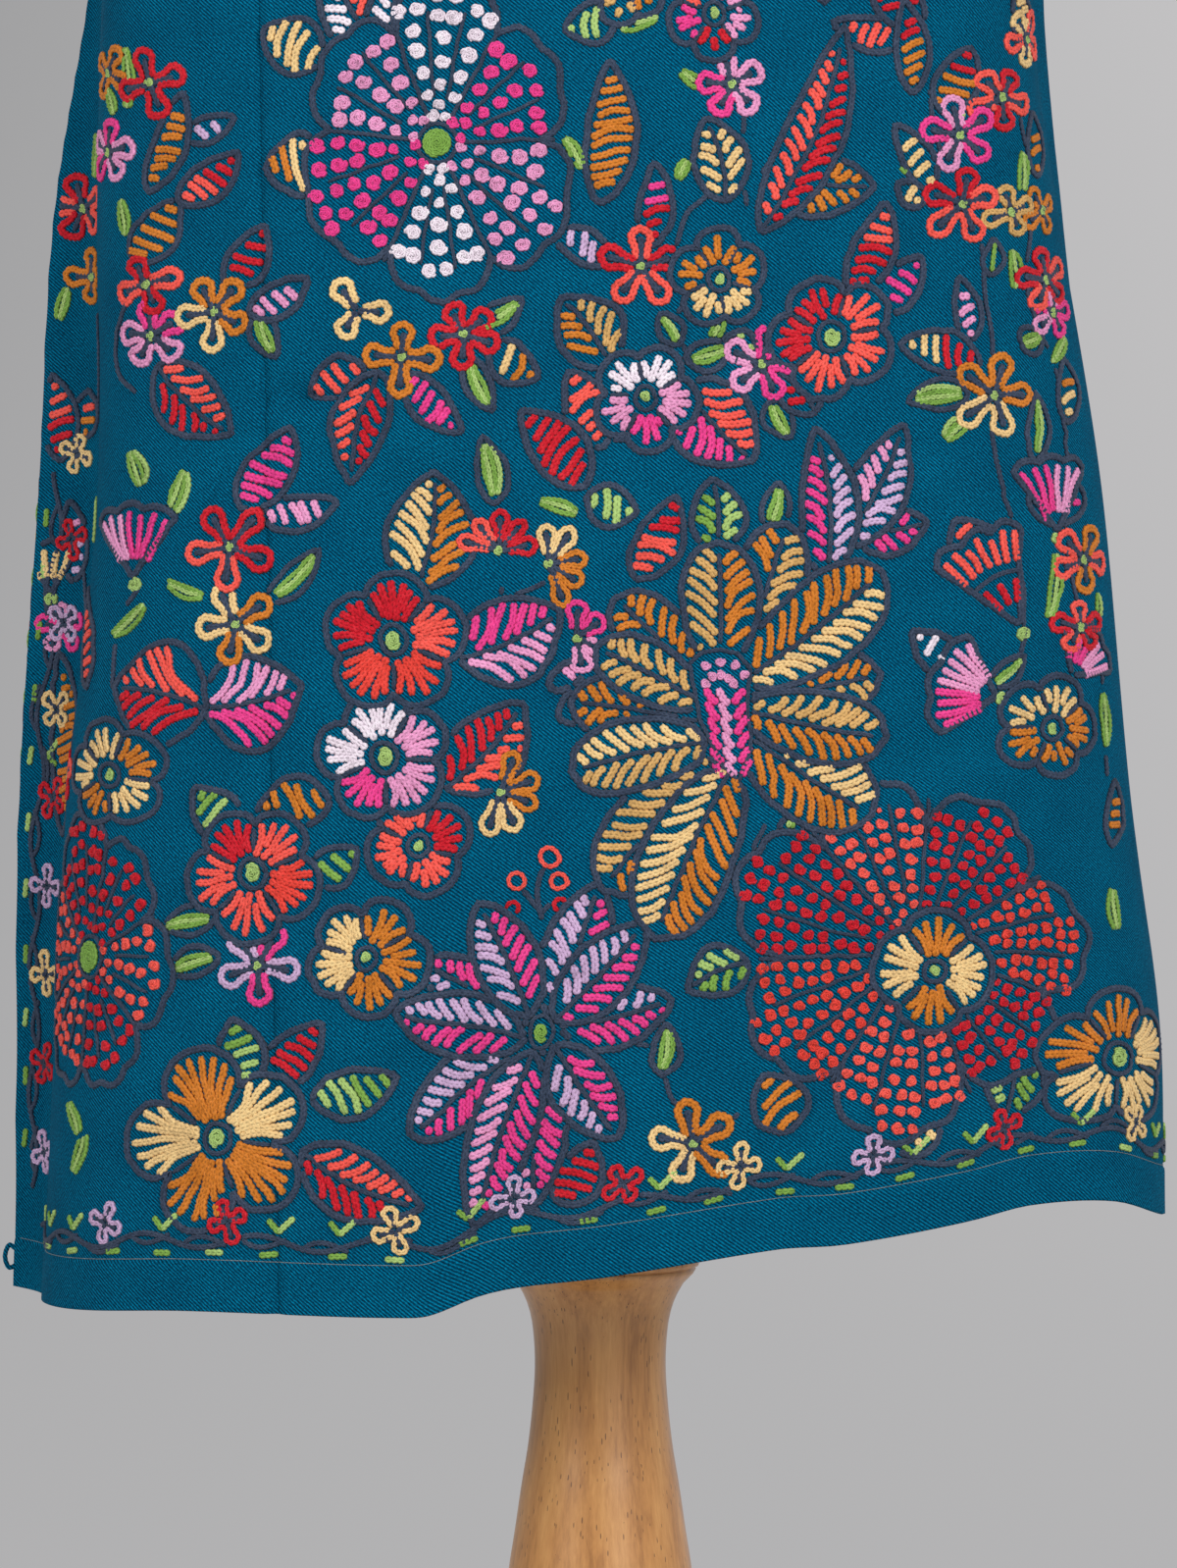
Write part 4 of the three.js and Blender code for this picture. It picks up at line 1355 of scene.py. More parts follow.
def leaf_halves(m, base, tip, width, left, right, blunt=0.0, bow=0.06):
    """A leaf with a middle rib and slanting strokes in its two colours."""
    length, place = aimed(base, tip)

    def bend(y):
        return bow * length * np.sin(math.pi * np.clip(y / length, 0, 1))

    m.outline(place(blade(length, width, blunt, bow)))
    rib = np.linspace(0.02, 0.9, 12) * length
    m.line("slate", place(np.stack([bend(rib), rib], -1)), 3.0)
    pitch = RIB_PITCH / math.sin(RIB_SLANT)
    steps = np.arange(0, 1.5 * width, 0.5)
    for direction, yarn in ((-1, left), (1, right)):
        y = 1.5 + m.rng.uniform(0, 0.4) * pitch
        while y < 0.9 * length:
            out = 2.6 + steps * math.sin(RIB_SLANT)
            up = y + steps * math.cos(RIB_SLANT)
            over = out > half_blade(up / length, width, blunt) - RIM_CLEAR
            reach = int(np.argmax(over)) if over.any() else 0
            if steps[reach] > 1.6:
                ends = [(direction * out[k] + bend(up[k]), up[k]) for k in (0, reach)]
                ends = ends + m.rng.normal(0, 0.4, (2, 2))
                m.line(yarn, place(bent(*ends, direction * m.rng.uniform(0, 0.16))))
            y += pitch


def leaf_stripes(m, base, tip, width, yarn, second=None, slant=0.55, bow=0.05):
    """A leaf filled from edge to edge by slanting strokes of one colour, or of two."""
    length, place = aimed(base, tip)
    m.outline(place(blade(length, width, 0.1, bow)))
    count = max(int(length / FILL_PITCH), 3)
    for k in range(count):
        t = 0.14 + 0.72 * k / (count - 1)
        half = half_blade(t, width, 0.1) - RIM_CLEAR
        if half < 1.3:
            continue
        rise = slant * half
        middle = bow * length * math.sin(math.pi * t)
        ends = np.array([(-half + middle, t * length - rise * 0.5), (half + middle, t * length + rise * 0.5)])
        ends = ends + m.rng.normal(0, 0.5, (2, 2))
        m.line(second if second and k >= count / 2 else yarn, place(bent(*ends, m.rng.uniform(-0.04, 0.12))))


def leaf_plain(m, base, tip, width, edged):
    """Small leaf of two or three strokes that lie close together, with or without its outline."""
    length, place = aimed(base, tip)
    shape = blade(length, width, bow=0.05)
    if edged:
        m.outline(place(shape), width=4.0)
    core = width - 6.4 if edged else width - 2.4
    count = max(int(core / 2.6), 1)
    for k in range(count):
        side = (k - (count - 1) / 2) * 2.8
        t = np.linspace(0.14, 0.88, 8)
        swell = np.sin(math.pi * t)
        points = np.stack([side * swell + 0.05 * length * swell, t * length], -1)
        m.line("pale_green" if k % 2 else "green", place(points), 3.5)
    if not edged:
        m.claims.append(m.on_cloth(place(shape)))


PETAL_SHAPE = table("along half", (0, 0.5), (0.35, 0.62), (0.65, 1.0), (0.84, 0.86), (0.95, 0.42), (1, 0))


def loop_flower(m, radius, yarns, petals=5, first=90, middle="green", spread=360):
    """Small star flower: each petal is one turn of coloured yarn round a slate stroke."""
    apart = spread / (petals if spread == 360 else max(petals - 1, 1))
    yarn_width = min(5.0, radius * 0.28) * (1.0 if apart > 60 else 0.8)
    room = 0.65 * radius * math.sin(math.radians(min(apart, 120)) / 2)
    half = min(0.25 * radius, 5.3, room - 0.4 * yarn_width)
    corner = 0.5 * half / math.sin(math.radians(max(min(apart, 100), 30)) / 2)
    outline = []
    for k in range(petals):
        reach = radius * m.rng.uniform(0.9, 1.06)
        turn = math.radians(first + apart * k + m.rng.uniform(-5, 5))
        _, place = aimed((0, 0), polar(reach, turn))
        y = corner + (reach - yarn_width / 2 - corner) * PETAL_SHAPE["along"]
        right = np.stack([half * PETAL_SHAPE["half"], y], -1)
        left = np.stack([-right[:, 0], y], -1)[::-1]
        petal = place(curve(np.concatenate([right, left[1:]]), 4))
        m.line(yarns[k % len(yarns)], petal, yarn_width)
        m.line("slate", place([(0, 1.0), (0, reach - yarn_width * 1.5)]), yarn_width * 0.95)
        outline.extend(petal)
    m.claims.append(m.on_cloth(outline))
    if middle:
        m.disc(middle, (0, 0), 3.3)


def lobed(radius, petals, rng, dip=0.16, first=0.0, per_petal=14, ruffle=0.0):
    """Radius of a scalloped flower at many turns, and where its petals part."""
    widths = rng.uniform(0.86, 1.14, petals)
    parts = first + np.concatenate([[0], np.cumsum(widths / widths.sum())]) * 2 * math.pi
    reach = radius * rng.uniform(0.93, 1.08, petals)
    turns = []
    radii = []
    for k in range(petals):
        t = np.linspace(0, 1, per_petal, endpoint=False)
        turns.append(parts[k] + t * (parts[k + 1] - parts[k]))
        scallop = 1 - dip + dip * np.sin(math.pi * t) ** 0.6
        scallop = scallop + ruffle * (np.abs(np.sin(3 * math.pi * t)) - 0.6)
        blend = t * t * (3 - 2 * t)
        radii.append((reach[k] * (1 - 0.5 * blend) + reach[(k + 1) % petals] * 0.5 * blend) * scallop)
    return np.concatenate(turns), np.concatenate(radii), parts


def polar(radii, turns):
    """Places at distances and turns from the origin."""
    return np.stack([radii * np.cos(turns), radii * np.sin(turns)], -1)


def striped_flower(m, radius, yarns, petals=5, first=0.0, middle=(5.0, 6.0), dip=0.26):
    """Scalloped flower whose petals are fans of strokes from a green middle."""
    turns, radii, parts = lobed(radius, petals, m.rng, dip, math.radians(first))
    m.outline(polar(radii, turns))
    m.disc("pale_green", (0, 0), *middle)
    hub = np.array(middle) + 2.4
    ring = np.linspace(0, 2 * math.pi, 21)
    m.line("slate", polar(1, ring) * hub, 3.0)
    start = max(hub) + 2.0
    for k in range(petals):
        span = parts[k + 1] - parts[k]
        count = max(int(round(span * radius * 0.8 / FILL_PITCH)), 3)
        gap = 0.11 * span
        for j in range(count):
            share = j / (count - 1) - 0.5
            turn = parts[k] + span / 2 + (span - 2 * gap) * share
            edge = np.interp(turn, turns, radii) - RIM_CLEAR - 0.8 - abs(m.rng.normal(0, 1.2))
            near = start + (m.rng.uniform(3, 6) if j % 2 else m.rng.uniform(0, 2))
            base_turn = parts[k] + span / 2 + (turn - parts[k] - span / 2) * 0.86
            ends = polar(near, base_turn), polar(edge, turn + m.rng.normal(0, 0.02))
            m.line(yarns[k % len(yarns)], bent(*ends, -0.16 * share + m.rng.normal(0, 0.02)))
        cleft = np.interp(parts[k], turns, radii) - 2
        m.line("slate", [polar(0.5 * cleft, parts[k]), polar(cleft, parts[k])], 3.0)


def dotted_flower(m, radius, yarns, petals, first, veins, hub, squeeze, heart, knot):
    """Large flower whose petals are rows of knots between slate veins."""
    turns, radii, parts = lobed(radius, petals, m.rng, 0.2 if hub else 0.27, math.radians(first), 20, 0.05)
    outline = polar(radii, turns) * (1, squeeze)
    m.outline(outline)
    inner = 12.0 if heart is None else heart
    for k in range(petals):
        span = parts[k + 1] - parts[k]
        yarn = yarns[k % len(yarns)]
        m.line("slate", polar(np.linspace(inner, radius * 0.84, 8), parts[k]) * (1, squeeze), 2.7)
        for j in range(veins):
            turn = parts[k] + span * (j + 1) / (veins + 1)
            far = np.interp(turn, turns, radii) - 12
            m.line("slate", polar(np.linspace(inner + 10, far, 8), turn) * (1, squeeze), 2.2)
        lanes = veins + 1
        for lane in range(lanes):
            turn = parts[k] + span * (lane + 0.5) / lanes
            edge = np.interp(turn, turns, radii) - 2.6 - knot
            reach = inner + 1.0 + 1.1 * knot * (lane % 2)
            while reach < edge:
                chord = reach * span / lanes - 2.4
                abreast = max(1, int(chord / (2.25 * knot) + 0.45))
                for s in range(abreast):
                    sideways = (s - (abreast - 1) / 2) * min(chord / abreast, 2.6 * knot)
                    at = polar(reach, turn) + sideways * np.array([-math.sin(turn), math.cos(turn)])
                    jitter = m.rng.normal(0, 0.35, 2)
                    size = KNOT_SWELL * knot * m.rng.uniform(0.9, 1.08) * (1.0 if chord > 1.6 * knot else 0.8)
                    m.disc(yarn, (at + jitter) * (1, squeeze), size, size * 0.9, 3.4)
                reach += 2.4 * knot
    if hub:
        m.disc(hub, (0, 0), 8.4)
        ring = np.linspace(0, 2 * math.pi, 26, endpoint=False)
        loop = polar(10.6, ring)
        m.line("slate", np.concatenate([loop, loop[:1]]), 2.6)


def fan(m, radius, yarns, first, spread):
    """Half-open flower: strokes that fan out from its foot, in one tier or two, under a scalloped edge."""
    start = math.radians(first)
    span = math.radians(spread)
    t = np.linspace(0, 1, 22)
    edge = radius * (0.93 + 0.07 * np.abs(np.sin(3 * math.pi * t)))
    line = polar(edge, start + span * t)
    foot = polar(radius * 0.12, start + span * np.array([0.62, 0.38]))
    m.outline(np.concatenate([line, foot]))
    tiers = [(0.28, 1.0, yarns[0])]
    if radius > TWO_TIERS_FROM:
        tiers = [(0.26, 0.5, yarns[-1]), (0.62, 1.0, yarns[0])]
    for low, high, yarn in tiers:
        count = max(int(span * radius * high / FILL_PITCH), 3)
        for k in range(count):
            share = (k + 0.5) / count
            turn = start + span * share
            far = np.interp(share, t, edge) - 4.2 if high == 1.0 else radius * high
            chosen = yarns[-1] if len(tiers) == 1 and share > 0.5 else yarn
            m.line(chosen, bent(polar(radius * low + 2, turn), polar(far, turn), m.rng.uniform(-0.05, 0.05)))
    if len(tiers) == 2:
        m.line("slate", polar(radius * 0.57, start + span * (0.06 + 0.88 * t)), 3.0)
    m.disc("pale_green", (0, 0), 4.4)


def berry(m, radius, yarn):
    """Small ring of one turn of yarn."""
    ring = np.linspace(0, 2 * math.pi, 16, endpoint=False)
    loop = polar(radius, ring)
    m.line(yarn, np.concatenate([loop, loop[:1]]), 2.9)
    m.claims.append(m.on_cloth(loop))


# Places of the motifs that the camera sees, in pixels of the photograph.

def listing(names, *rows):
    """Rows whose values go by the names of their columns."""
    return [dict(zip(names.split(), row)) for row in rows]


DOTTED = listing(
    "x y radius petals first veins squeeze yarns",
    (446, 146, 140, 6, 2, 2, 1.15, "hot_pink white pale_pink hot_pink white pale_pink"),
    (934, 968, 186, 7, 30, 2, 1.0, "red coral red vermilion coral red vermilion"),
    (92, 975, 112, 6, 20, 2, 1.15, "red red coral coral red coral"),
)

STRIPED = listing(
    "x y radius petals first yarns",
    (401, 652, 68, 5, 50, "red red vermilion vermilion coral"),
    (392, 772, 66, 5, 62, "white white hot_pink pale_pink pale_pink"),
    (426, 862, 53, 4, -20, "red coral coral coral"),
    (257, 890, 64, 5, 20, "coral red coral coral vermilion"),
    (374, 976, 58, 5, 30, "ochre cream cream ochre ochre"),
    (848, 343, 60, 5, 10, "coral red red coral coral"),
    (658, 405, 52, 5, 30, "white white pale_pink hot_pink pale_pink"),
    (733, 285, 48, 5, 60, "ochre ochre cream cream ochre"),
    (112, 790, 52, 5, 70, "cream cream ochre cream ochre"),
    (1072, 742, 50, 5, 40, "cream cream ochre ochre ochre"),
    (1140, 1078, 66, 5, 60, "ochre ochre cream cream cream"),
    (222, 1160, 88, 5, -6, "cream ochre cream ochre ochre"),
    (640, -14, 36, 5, 0, "ochre ochre ochre tan ochre"),
    (728, 14, 44, 5, 20, "pale_pink coral hot_pink red pale_pink"),
)

LOOPED = listing(
    "x y radius petals first spread yarns",
    (153, 85, 38, 4, 20, 360, "red red red red"),
    (112, 74, 32, 4, 60, 360, "ochre"),
    (112, 155, 38, 5, 10, 360, "pale_pink hot_pink"),
    (86, 212, 36, 5, 30, 360, "coral red"),
    (149, 290, 36, 4, 20, 360, "coral red"),
    (95, 282, 32, 4, 0, 360, "ochre"),
    (218, 318, 42, 5, 50, 360, "ochre ochre cream cream ochre"),
    (155, 342, 40, 5, 30, 360, "hot_pink hot_pink pale_pink pale_pink pale_pink"),
    (364, 316, 38, 3, 130, 220, "cream"),
    (409, 364, 42, 4, 0, 360, "ochre"),
    (473, 341, 40, 5, 40, 300, "red"),
    (654, 272, 48, 5, 20, 360, "red coral red coral coral"),
    (745, 86, 40, 5, 30, 360, "pale_pink pale_pink hot_pink hot_pink pale_pink"),
    (776, 372, 42, 5, 80, 360, "hot_pink pale_pink pale_pink hot_pink hot_pink"),
    (234, 558, 52, 5, 50, 360, "red red coral coral red"),
    (240, 636, 46, 5, 40, 360, "ochre cream cream ochre cream"),
    (264, 984, 48, 5, 60, 360, "hot_pink lilac lilac hot_pink lilac"),
    (509, 561, 44, 5, 10, 160, "red red red coral coral"),
    (560, 575, 46, 5, -68, 165, "ochre ochre ochre cream cream"),
    (588, 650, 40, 4, -80, 170, "pale_pink pale_pink hot_pink hot_pink"),
    (510, 807, 46, 5, -112, 180, "cream cream ochre ochre ochre"),
    (706, 1165, 48, 5, 30, 360, "ochre ochre cream cream ochre"),
    (977, 138, 42, 5, 30, 360, "hot_pink pale_pink"),
    (980, 208, 44, 5, 10, 360, "coral red red coral coral"),
    (1020, 100, 36, 5, 60, 360, "red coral coral"),
    (1030, 216, 30, 4, 20, 360, "tan"),
    (1013, 403, 48, 5, 72, 360, "ochre ochre cream cream ochre"),
    (1066, 285, 36, 5, 30, 360, "coral red red"),
    (1104, 570, 38, 5, 60, 360, "ochre coral coral"),
    (1062, 215, 28, 4, 30, 360, "ochre"),
    (1074, 318, 30, 5, 10, 360, "hot_pink pale_pink"),
    (1100, 640, 30, 5, 20, 360, "red coral"),
    (1046, 40, 34, 5, 50, 360, "coral cream"),
    (64, 640, 28, 5, 20, 360, "hot_pink pale_pink"),
    (70, 790, 28, 4, 20, 360, "coral red"),
)

# Two colours either side of a rib
RIBBED = listing(
    "base_x base_y tip_x tip_y width left right",
    (158, 372, 234, 442, 60, "coral", "red"),
    (386, 378, 358, 492, 50, "red", "coral"),
    (425, 602, 442, 480, 82, "cream", "ochre"),
    (468, 671, 572, 622, 80, "hot_pink", "pale_pink"),
    (455, 802, 533, 716, 68, "red", "coral"),
    (206, 722, 112, 700, 96, "red", "coral"),
    (206, 722, 306, 698, 88, "pale_pink", "hot_pink"),
    (306, 1175, 428, 1232, 62, "coral", "red"),
    (776, 236, 862, 26, 54, "coral", "red"),
    (622, 372, 572, 304, 62, "ochre", "tan"),
    (700, 392, 768, 470, 76, "coral", "hot_pink"),
    (730, 562, 726, 488, 50, "green", "pale_green"),
    (832, 420, 790, 375, 40, "red", "coral"),
    (780, 170, 892, 190, 62, "ochre", "ochre"),
    (842, 590, 832, 436, 52, "hot_pink", "lilac"),
    (850, 560, 922, 432, 56, "pale_pink", "lilac"),
    (868, 540, 946, 532, 46, "hot_pink", "hot_pink"),
    (762, 980, 702, 1008, 46, "green", "pale_green"),
    (1046, 1072, 1026, 1140, 52, "green", "pale_green"),
    (740, 205, 720, 120, 50, "cream", "cream"),
)

# One set of strokes from edge to edge
BARRED = listing(
    "base_x base_y tip_x tip_y width yarn second",
    (326, 66, 268, 30, 52, "cream", ""),
    (150, 196, 186, 94, 30, "ochre", ""),
    (180, 206, 244, 156, 34, "coral", "red"),
    (186, 140, 238, 118, 24, "lilac", ""),
    (133, 266, 180, 204, 40, "ochre", ""),
    (232, 294, 270, 230, 36, "red", ""),
    (254, 320, 314, 284, 30, "pale_pink", ""),
    (336, 172, 270, 170, 56, "cream", "ochre"),
    (372, 374, 316, 402, 36, "coral", ""),
    (414, 382, 470, 440, 34, "hot_pink", ""),
    (500, 350, 548, 386, 38, "cream", "ochre"),
    (244, 518, 298, 436, 44, "hot_pink", ""),
    (266, 526, 344, 512, 32, "pale_pink", ""),
    (336, 816, 262, 826, 46, "ochre", ""),
    (236, 858, 198, 802, 42, "pale_green", "green"),
    (318, 896, 364, 866, 36, "green", ""),
    (597, 496, 532, 420, 50, "red", ""),
    (613, 456, 580, 378, 44, "coral", ""),
    (598, 506, 650, 522, 38, "pale_green", ""),
    (648, 590, 690, 506, 42, "coral", "red"),
    (612, 208, 622, 62, 46, "ochre", ""),
    (622, 268, 562, 236, 30, "lilac", ""),
    (662, 252, 668, 166, 32, "red", "hot_pink"),
    (770, 360, 738, 346, 28, "pale_green", ""),
    (868, 300, 904, 208, 38, "red", "coral"),
    (888, 318, 940, 262, 36, "hot_pink", ""),
    (1000, 372, 918, 350, 38, "red", "cream"),
    (988, 350, 978, 282, 24, "pale_pink", ""),
    (604, 716, 570, 732, 30, "pale_green", "green"),
    (246, 1112, 238, 1038, 44, "pale_green", "green"),
    (258, 1110, 328, 1042, 42, "red", ""),
    (318, 1122, 404, 1098, 44, "pale_green", "green"),
    (570, 1226, 606, 1166, 44, "red", ""),
    (806, 1152, 778, 1096, 52, "ochre", ""),
    (896, 1162, 958, 1116, 62, "cream", ""),
    (975, 690, 930, 644, 34, "white", ""),
    (1020, 610, 974, 530, 60, "coral", ""),
    (950, 196, 912, 128, 28, "cream", ""),
    (930, 96, 920, 0, 30, "ochre", "red"),
    (958, 112, 990, 48, 40, "ochre", "red"),
    (1046, 60, 1036, -20, 30, "cream", ""),
    (938, 210, 916, 186, 24, "cream", ""),
    (76, 592, 72, 510, 26, "lilac", "pale_pink"),
    (62, 470, 54, 382, 34, "red", "coral"),
    (96, 700, 82, 600, 26, "coral", ""),
    (66, 850, 62, 664, 34, "ochre", ""),
    (1132, 862, 1138, 796, 22, "ochre", ""),
    (1074, 536, 1082, 476, 52, "hot_pink", "pale_pink"),
    (1090, 430, 1086, 366, 26, "cream", "ochre"),
    (1058, 180, 1052, 116, 26, "ochre", ""),
    (560, 700, 596, 672, 22, "pale_pink", ""),
    (84, 448, 92, 396, 26, "ochre", "coral"),
)

GREEN = listing(
    "base_x base_y tip_x tip_y width edged",
    (262, 320, 282, 364, 24, 1),
    (478, 364, 502, 418, 24, 1),
    (486, 336, 532, 304, 26, 1),
    (274, 612, 326, 560, 26, 1),
    (165, 592, 212, 608, 18, 0),
    (110, 652, 150, 612, 20, 0),
    (594, 526, 545, 510, 20, 0),
    (505, 514, 492, 446, 28, 1),
    (596, 176, 572, 138, 18, 0),
    (218, 936, 164, 946, 26, 1),
    (222, 974, 170, 992, 26, 1),
    (692, 352, 672, 320, 22, 1),
    (700, 368, 746, 352, 26, 1),
    (722, 350, 738, 322, 18, 0),
    (786, 408, 806, 446, 26, 1),
    (784, 542, 794, 492, 26, 1),
    (748, 898, 794, 884, 18, 0),
    (806, 830, 812, 872, 22, 1),
    (674, 1096, 680, 1044, 26, 1),
    (988, 402, 926, 408, 28, 1),
    (990, 424, 962, 450, 24, 0),
    (1040, 352, 1062, 340, 26, 1),
    (1010, 700, 1044, 668, 20, 1),
    (1066, 640, 1078, 556, 20, 0),
    (1056, 470, 1056, 400, 20, 1),
    (1068, 372, 1092, 340, 18, 0),
    (1128, 770, 1122, 700, 20, 0),
    (1116, 650, 1120, 600, 16, 0),
    (984, 128, 946, 84, 22, 0),
    (948, 186, 914, 170, 20, 0),
    (1040, 200, 1042, 150, 18, 0),
    (1134, 900, 1140, 952, 18, 0),
    (120, 120, 108, 88, 20, 0),
    (96, 188, 100, 130, 20, 0),
    (130, 246, 122, 200, 18, 0),
    (72, 290, 60, 330, 18, 0),
    (130, 120, 128, 40, 18, 0),
    (146, 500, 132, 456, 24, 0),
    (168, 532, 190, 474, 24, 0),
    (100, 560, 96, 500, 16, 0),
    (84, 1160, 66, 1120, 20, 0),
    (70, 1200, 90, 1150, 18, 0),
    (1010, 280, 1012, 244, 18, 1),
    (704, 160, 690, 186, 20, 0),
    (690, 70, 728, 92, 20, 0),
    (828, 880, 802, 860, 14, 0),
    (1034, 300, 1030, 250, 18, 0),
)

# Half-open flowers: foot, reach, first turn and spread in degrees
FANS = listing(
    "x y radius first spread yarns",
    (137, 596, 84, 60, 66, "hot_pink pale_pink"),
    (1044, 646, 112, 92, 50, "coral red"),
    (1022, 712, 74, 118, 92, "pale_pink hot_pink"),
    (1088, 694, 62, 10, 84, "pale_pink hot_pink"),
    (1078, 548, 84, 66, 56, "pale_pink hot_pink"),
    (52, 610, 60, 60, 60, "cream cream"),
)

# Slate stems: the places that each one passes
STEMS = [
    listing("x y", (512, 600), (503, 640), (490, 668)),
    listing("x y", (556, 592), (520, 612), (505, 640)),
    listing("x y", (590, 500), (600, 455), (640, 448)),
    listing("x y", (640, 448), (690, 420)),
    listing("x y", (132, 300), (118, 340), (120, 380), (140, 400)),
    listing("x y", (100, 320), (104, 370), (96, 430)),
    listing("x y", (176, 350), (186, 372)),
    listing("x y", (700, 360), (690, 330), (700, 300), (712, 262)),
    listing("x y", (720, 200), (700, 220), (690, 250)),
    listing("x y", (552, 935), (548, 905), (556, 880)),
    listing("x y", (552, 930), (538, 912), (530, 905)),
    listing("x y", (552, 930), (566, 915), (574, 902)),
    listing("x y", (630, 1068), (662, 1066), (676, 1092)),
    listing("x y", (676, 1092), (684, 1116), (694, 1130)),
    listing("x y", (722, 1150), (742, 1146), (752, 1136)),
    listing("x y", (1010, 440), (1022, 500), (1040, 560), (1046, 640)),
    listing("x y", (1046, 640), (1040, 680), (1050, 710)),
    listing("x y", (1000, 250), (1004, 300), (1012, 360)),
    listing("x y", (1040, 120), (1052, 200), (1048, 300), (1080, 380), (1090, 470)),
    listing("x y", (960, 160), (950, 120), (944, 70)),
    listing("x y", (1086, 560), (1098, 620), (1092, 700)),
    listing("x y", (1120, 640), (1126, 720), (1130, 800)),
    listing("x y", (240, 596), (228, 640)),
    listing("x y", (140, 600), (120, 640), (114, 700)),
    listing("x y", (84, 560), (92, 620), (96, 660)),
    listing("x y", (266, 480), (258, 520)),
    listing("x y", (780, 840), (770, 870), (800, 890)),
    listing("x y", (736, 110), (720, 130), (722, 160)),
    listing("x y", (760, 110), (756, 160), (762, 210)),
    listing("x y", (800, 360), (826, 352)),
]


# Petals of the two flowers whose petals are ribbed leaves
GOLDEN_PETALS = listing(
    "base_x base_y tip_x tip_y width left right",
    (733, 680, 732, 553, 74, "tan", "ochre"),
    (748, 680, 803, 534, 69, "ochre", "tan"),
    (758, 694, 901, 583, 81, "ochre", "cream"),
    (762, 708, 898, 688, 60, "ochre", "tan"),
    (762, 724, 904, 752, 67, "tan", "ochre"),
    (758, 745, 890, 832, 83, "cream", "ochre"),
    (744, 785, 668, 956, 87, "ochre", "cream"),
    (730, 775, 614, 906, 78, "ochre", "tan"),
    (720, 756, 582, 786, 67, "tan", "cream"),
    (716, 736, 582, 716, 60, "ochre", "ochre"),
    (714, 716, 608, 660, 58, "tan", "tan"),
    (718, 698, 626, 610, 60, "ochre", "ochre"),
)
GOLDEN_MIDDLE = (734, 710)

STAR_PETALS = listing(
    "base_x base_y tip_x tip_y width left right",
    (540, 1036, 488, 920, 68, "lilac", "hot_pink"),
    (560, 1034, 611, 900, 70, "lilac", "hot_pink"),
    (566, 1040, 656, 942, 66, "lilac", "hot_pink"),
    (570, 1048, 684, 1020, 66, "lilac", "hot_pink"),
    (566, 1066, 630, 1160, 68, "hot_pink", "lilac"),
    (552, 1072, 544, 1228, 68, "hot_pink", "pale_pink"),
    (544, 1070, 484, 1246, 68, "hot_pink", "pale_pink"),
    (538, 1062, 418, 1160, 72, "hot_pink", "lilac"),
    (536, 1052, 402, 1042, 68, "hot_pink", "lilac"),
    (536, 1044, 428, 980, 62, "lilac", "hot_pink"),
)
STAR_MIDDLE = (552, 1052)


def draw_motifs(canvas, placed, seed, dye, wanted):
    """All the motifs that wanted says yes to, the upper ones first, since later ones go under them."""
    seeds = iter(range(seed, seed + 9000))

    def motif(x, y):
        place, grow = placed((x, y))
        return Motif(canvas, place, grow, next(seeds), dye)

    def mm(length):
        return length * MM_PER_PIXEL

    def local(row, name, origin):
        return mm(row[name + "_x"] - origin[0]), -mm(row[name + "_y"] - origin[1])

    def leaf(row, draw, *looks):
        middle = ((row["base_x"] + row["tip_x"]) / 2, (row["base_y"] + row["tip_y"]) / 2)
        if not wanted(*middle):
            return
        m = motif(*middle)
        draw(m, local(row, "base", middle), local(row, "tip", middle), mm(row["width"] * LEAF_GROW), *looks)
        m.done()

    def flowers(rows):
        for row in rows:
            if wanted(row["x"], row["y"]):
                m = motif(row["x"], row["y"])
                yield row, m, row["yarns"].split()
                m.done()

    for row, m, yarns in flowers(STRIPED):
        middle = (3.2, 4.0) if row["radius"] < 60 else (4.8, 6.0)
        dip = 0.4 if row["radius"] > 80 else 0.26
        radius = mm(row["radius"] * FLOWER_GROW)
        striped_flower(m, radius, yarns, row["petals"], row["first"], middle, dip)
    if wanted(*GOLDEN_MIDDLE):
        golden_flower(motif, mm)
    if wanted(*STAR_MIDDLE):
        pink_star(motif, mm)
    for row in DOTTED:
        if not wanted(row["x"], row["y"]):
            continue
        pink = "white" in row["yarns"]
        wide = row["radius"] > 150
        if wide:
            heart = motif(*HEART_MIDDLE)
            striped_flower(heart, mm(60), ["ochre", "cream"], 4, 45, (3.6, 3.6), 0.2)
            heart.done()
        m = motif(row["x"], row["y"])
        if row["x"] < FOLD_PIXEL:
            m.grow = np.diag(np.sign(np.diag(m.grow)))
        hub, heart = (None, mm(30)) if wide else ("green", None)
        knot = 4.4 if pink else 3.4
        shape = (row["petals"], row["first"], row["veins"])
        dotted_flower(m, mm(row["radius"]), row["yarns"].split(), *shape, hub, row["squeeze"], heart, knot)
        m.done()
    for row, m, yarns in flowers(LOOPED):
        middle = "pale_green" if row["petals"] > 3 else None
        loop_flower(m, mm(row["radius"]), yarns, row["petals"], row["first"], middle, row["spread"])
    for row, m, yarns in flowers(FANS):
        fan(m, mm(row["radius"]), yarns, row["first"], row["spread"])
    for row in RIBBED:
        leaf(row, leaf_halves, row["left"], row["right"], 0.1)
    for row in BARRED:
        leaf(row, leaf_stripes, row["yarn"], row["second"])
    for row in GREEN:
        leaf(row, leaf_plain, row["edged"] == 1)
    for places in STEMS:
        foot = (places[0]["x"], places[0]["y"])
        if wanted(*foot):
            line = [(mm(place["x"] - foot[0]), -mm(place["y"] - foot[1])) for place in places]
            motif(*foot).line("slate", curve(line), 3.1)


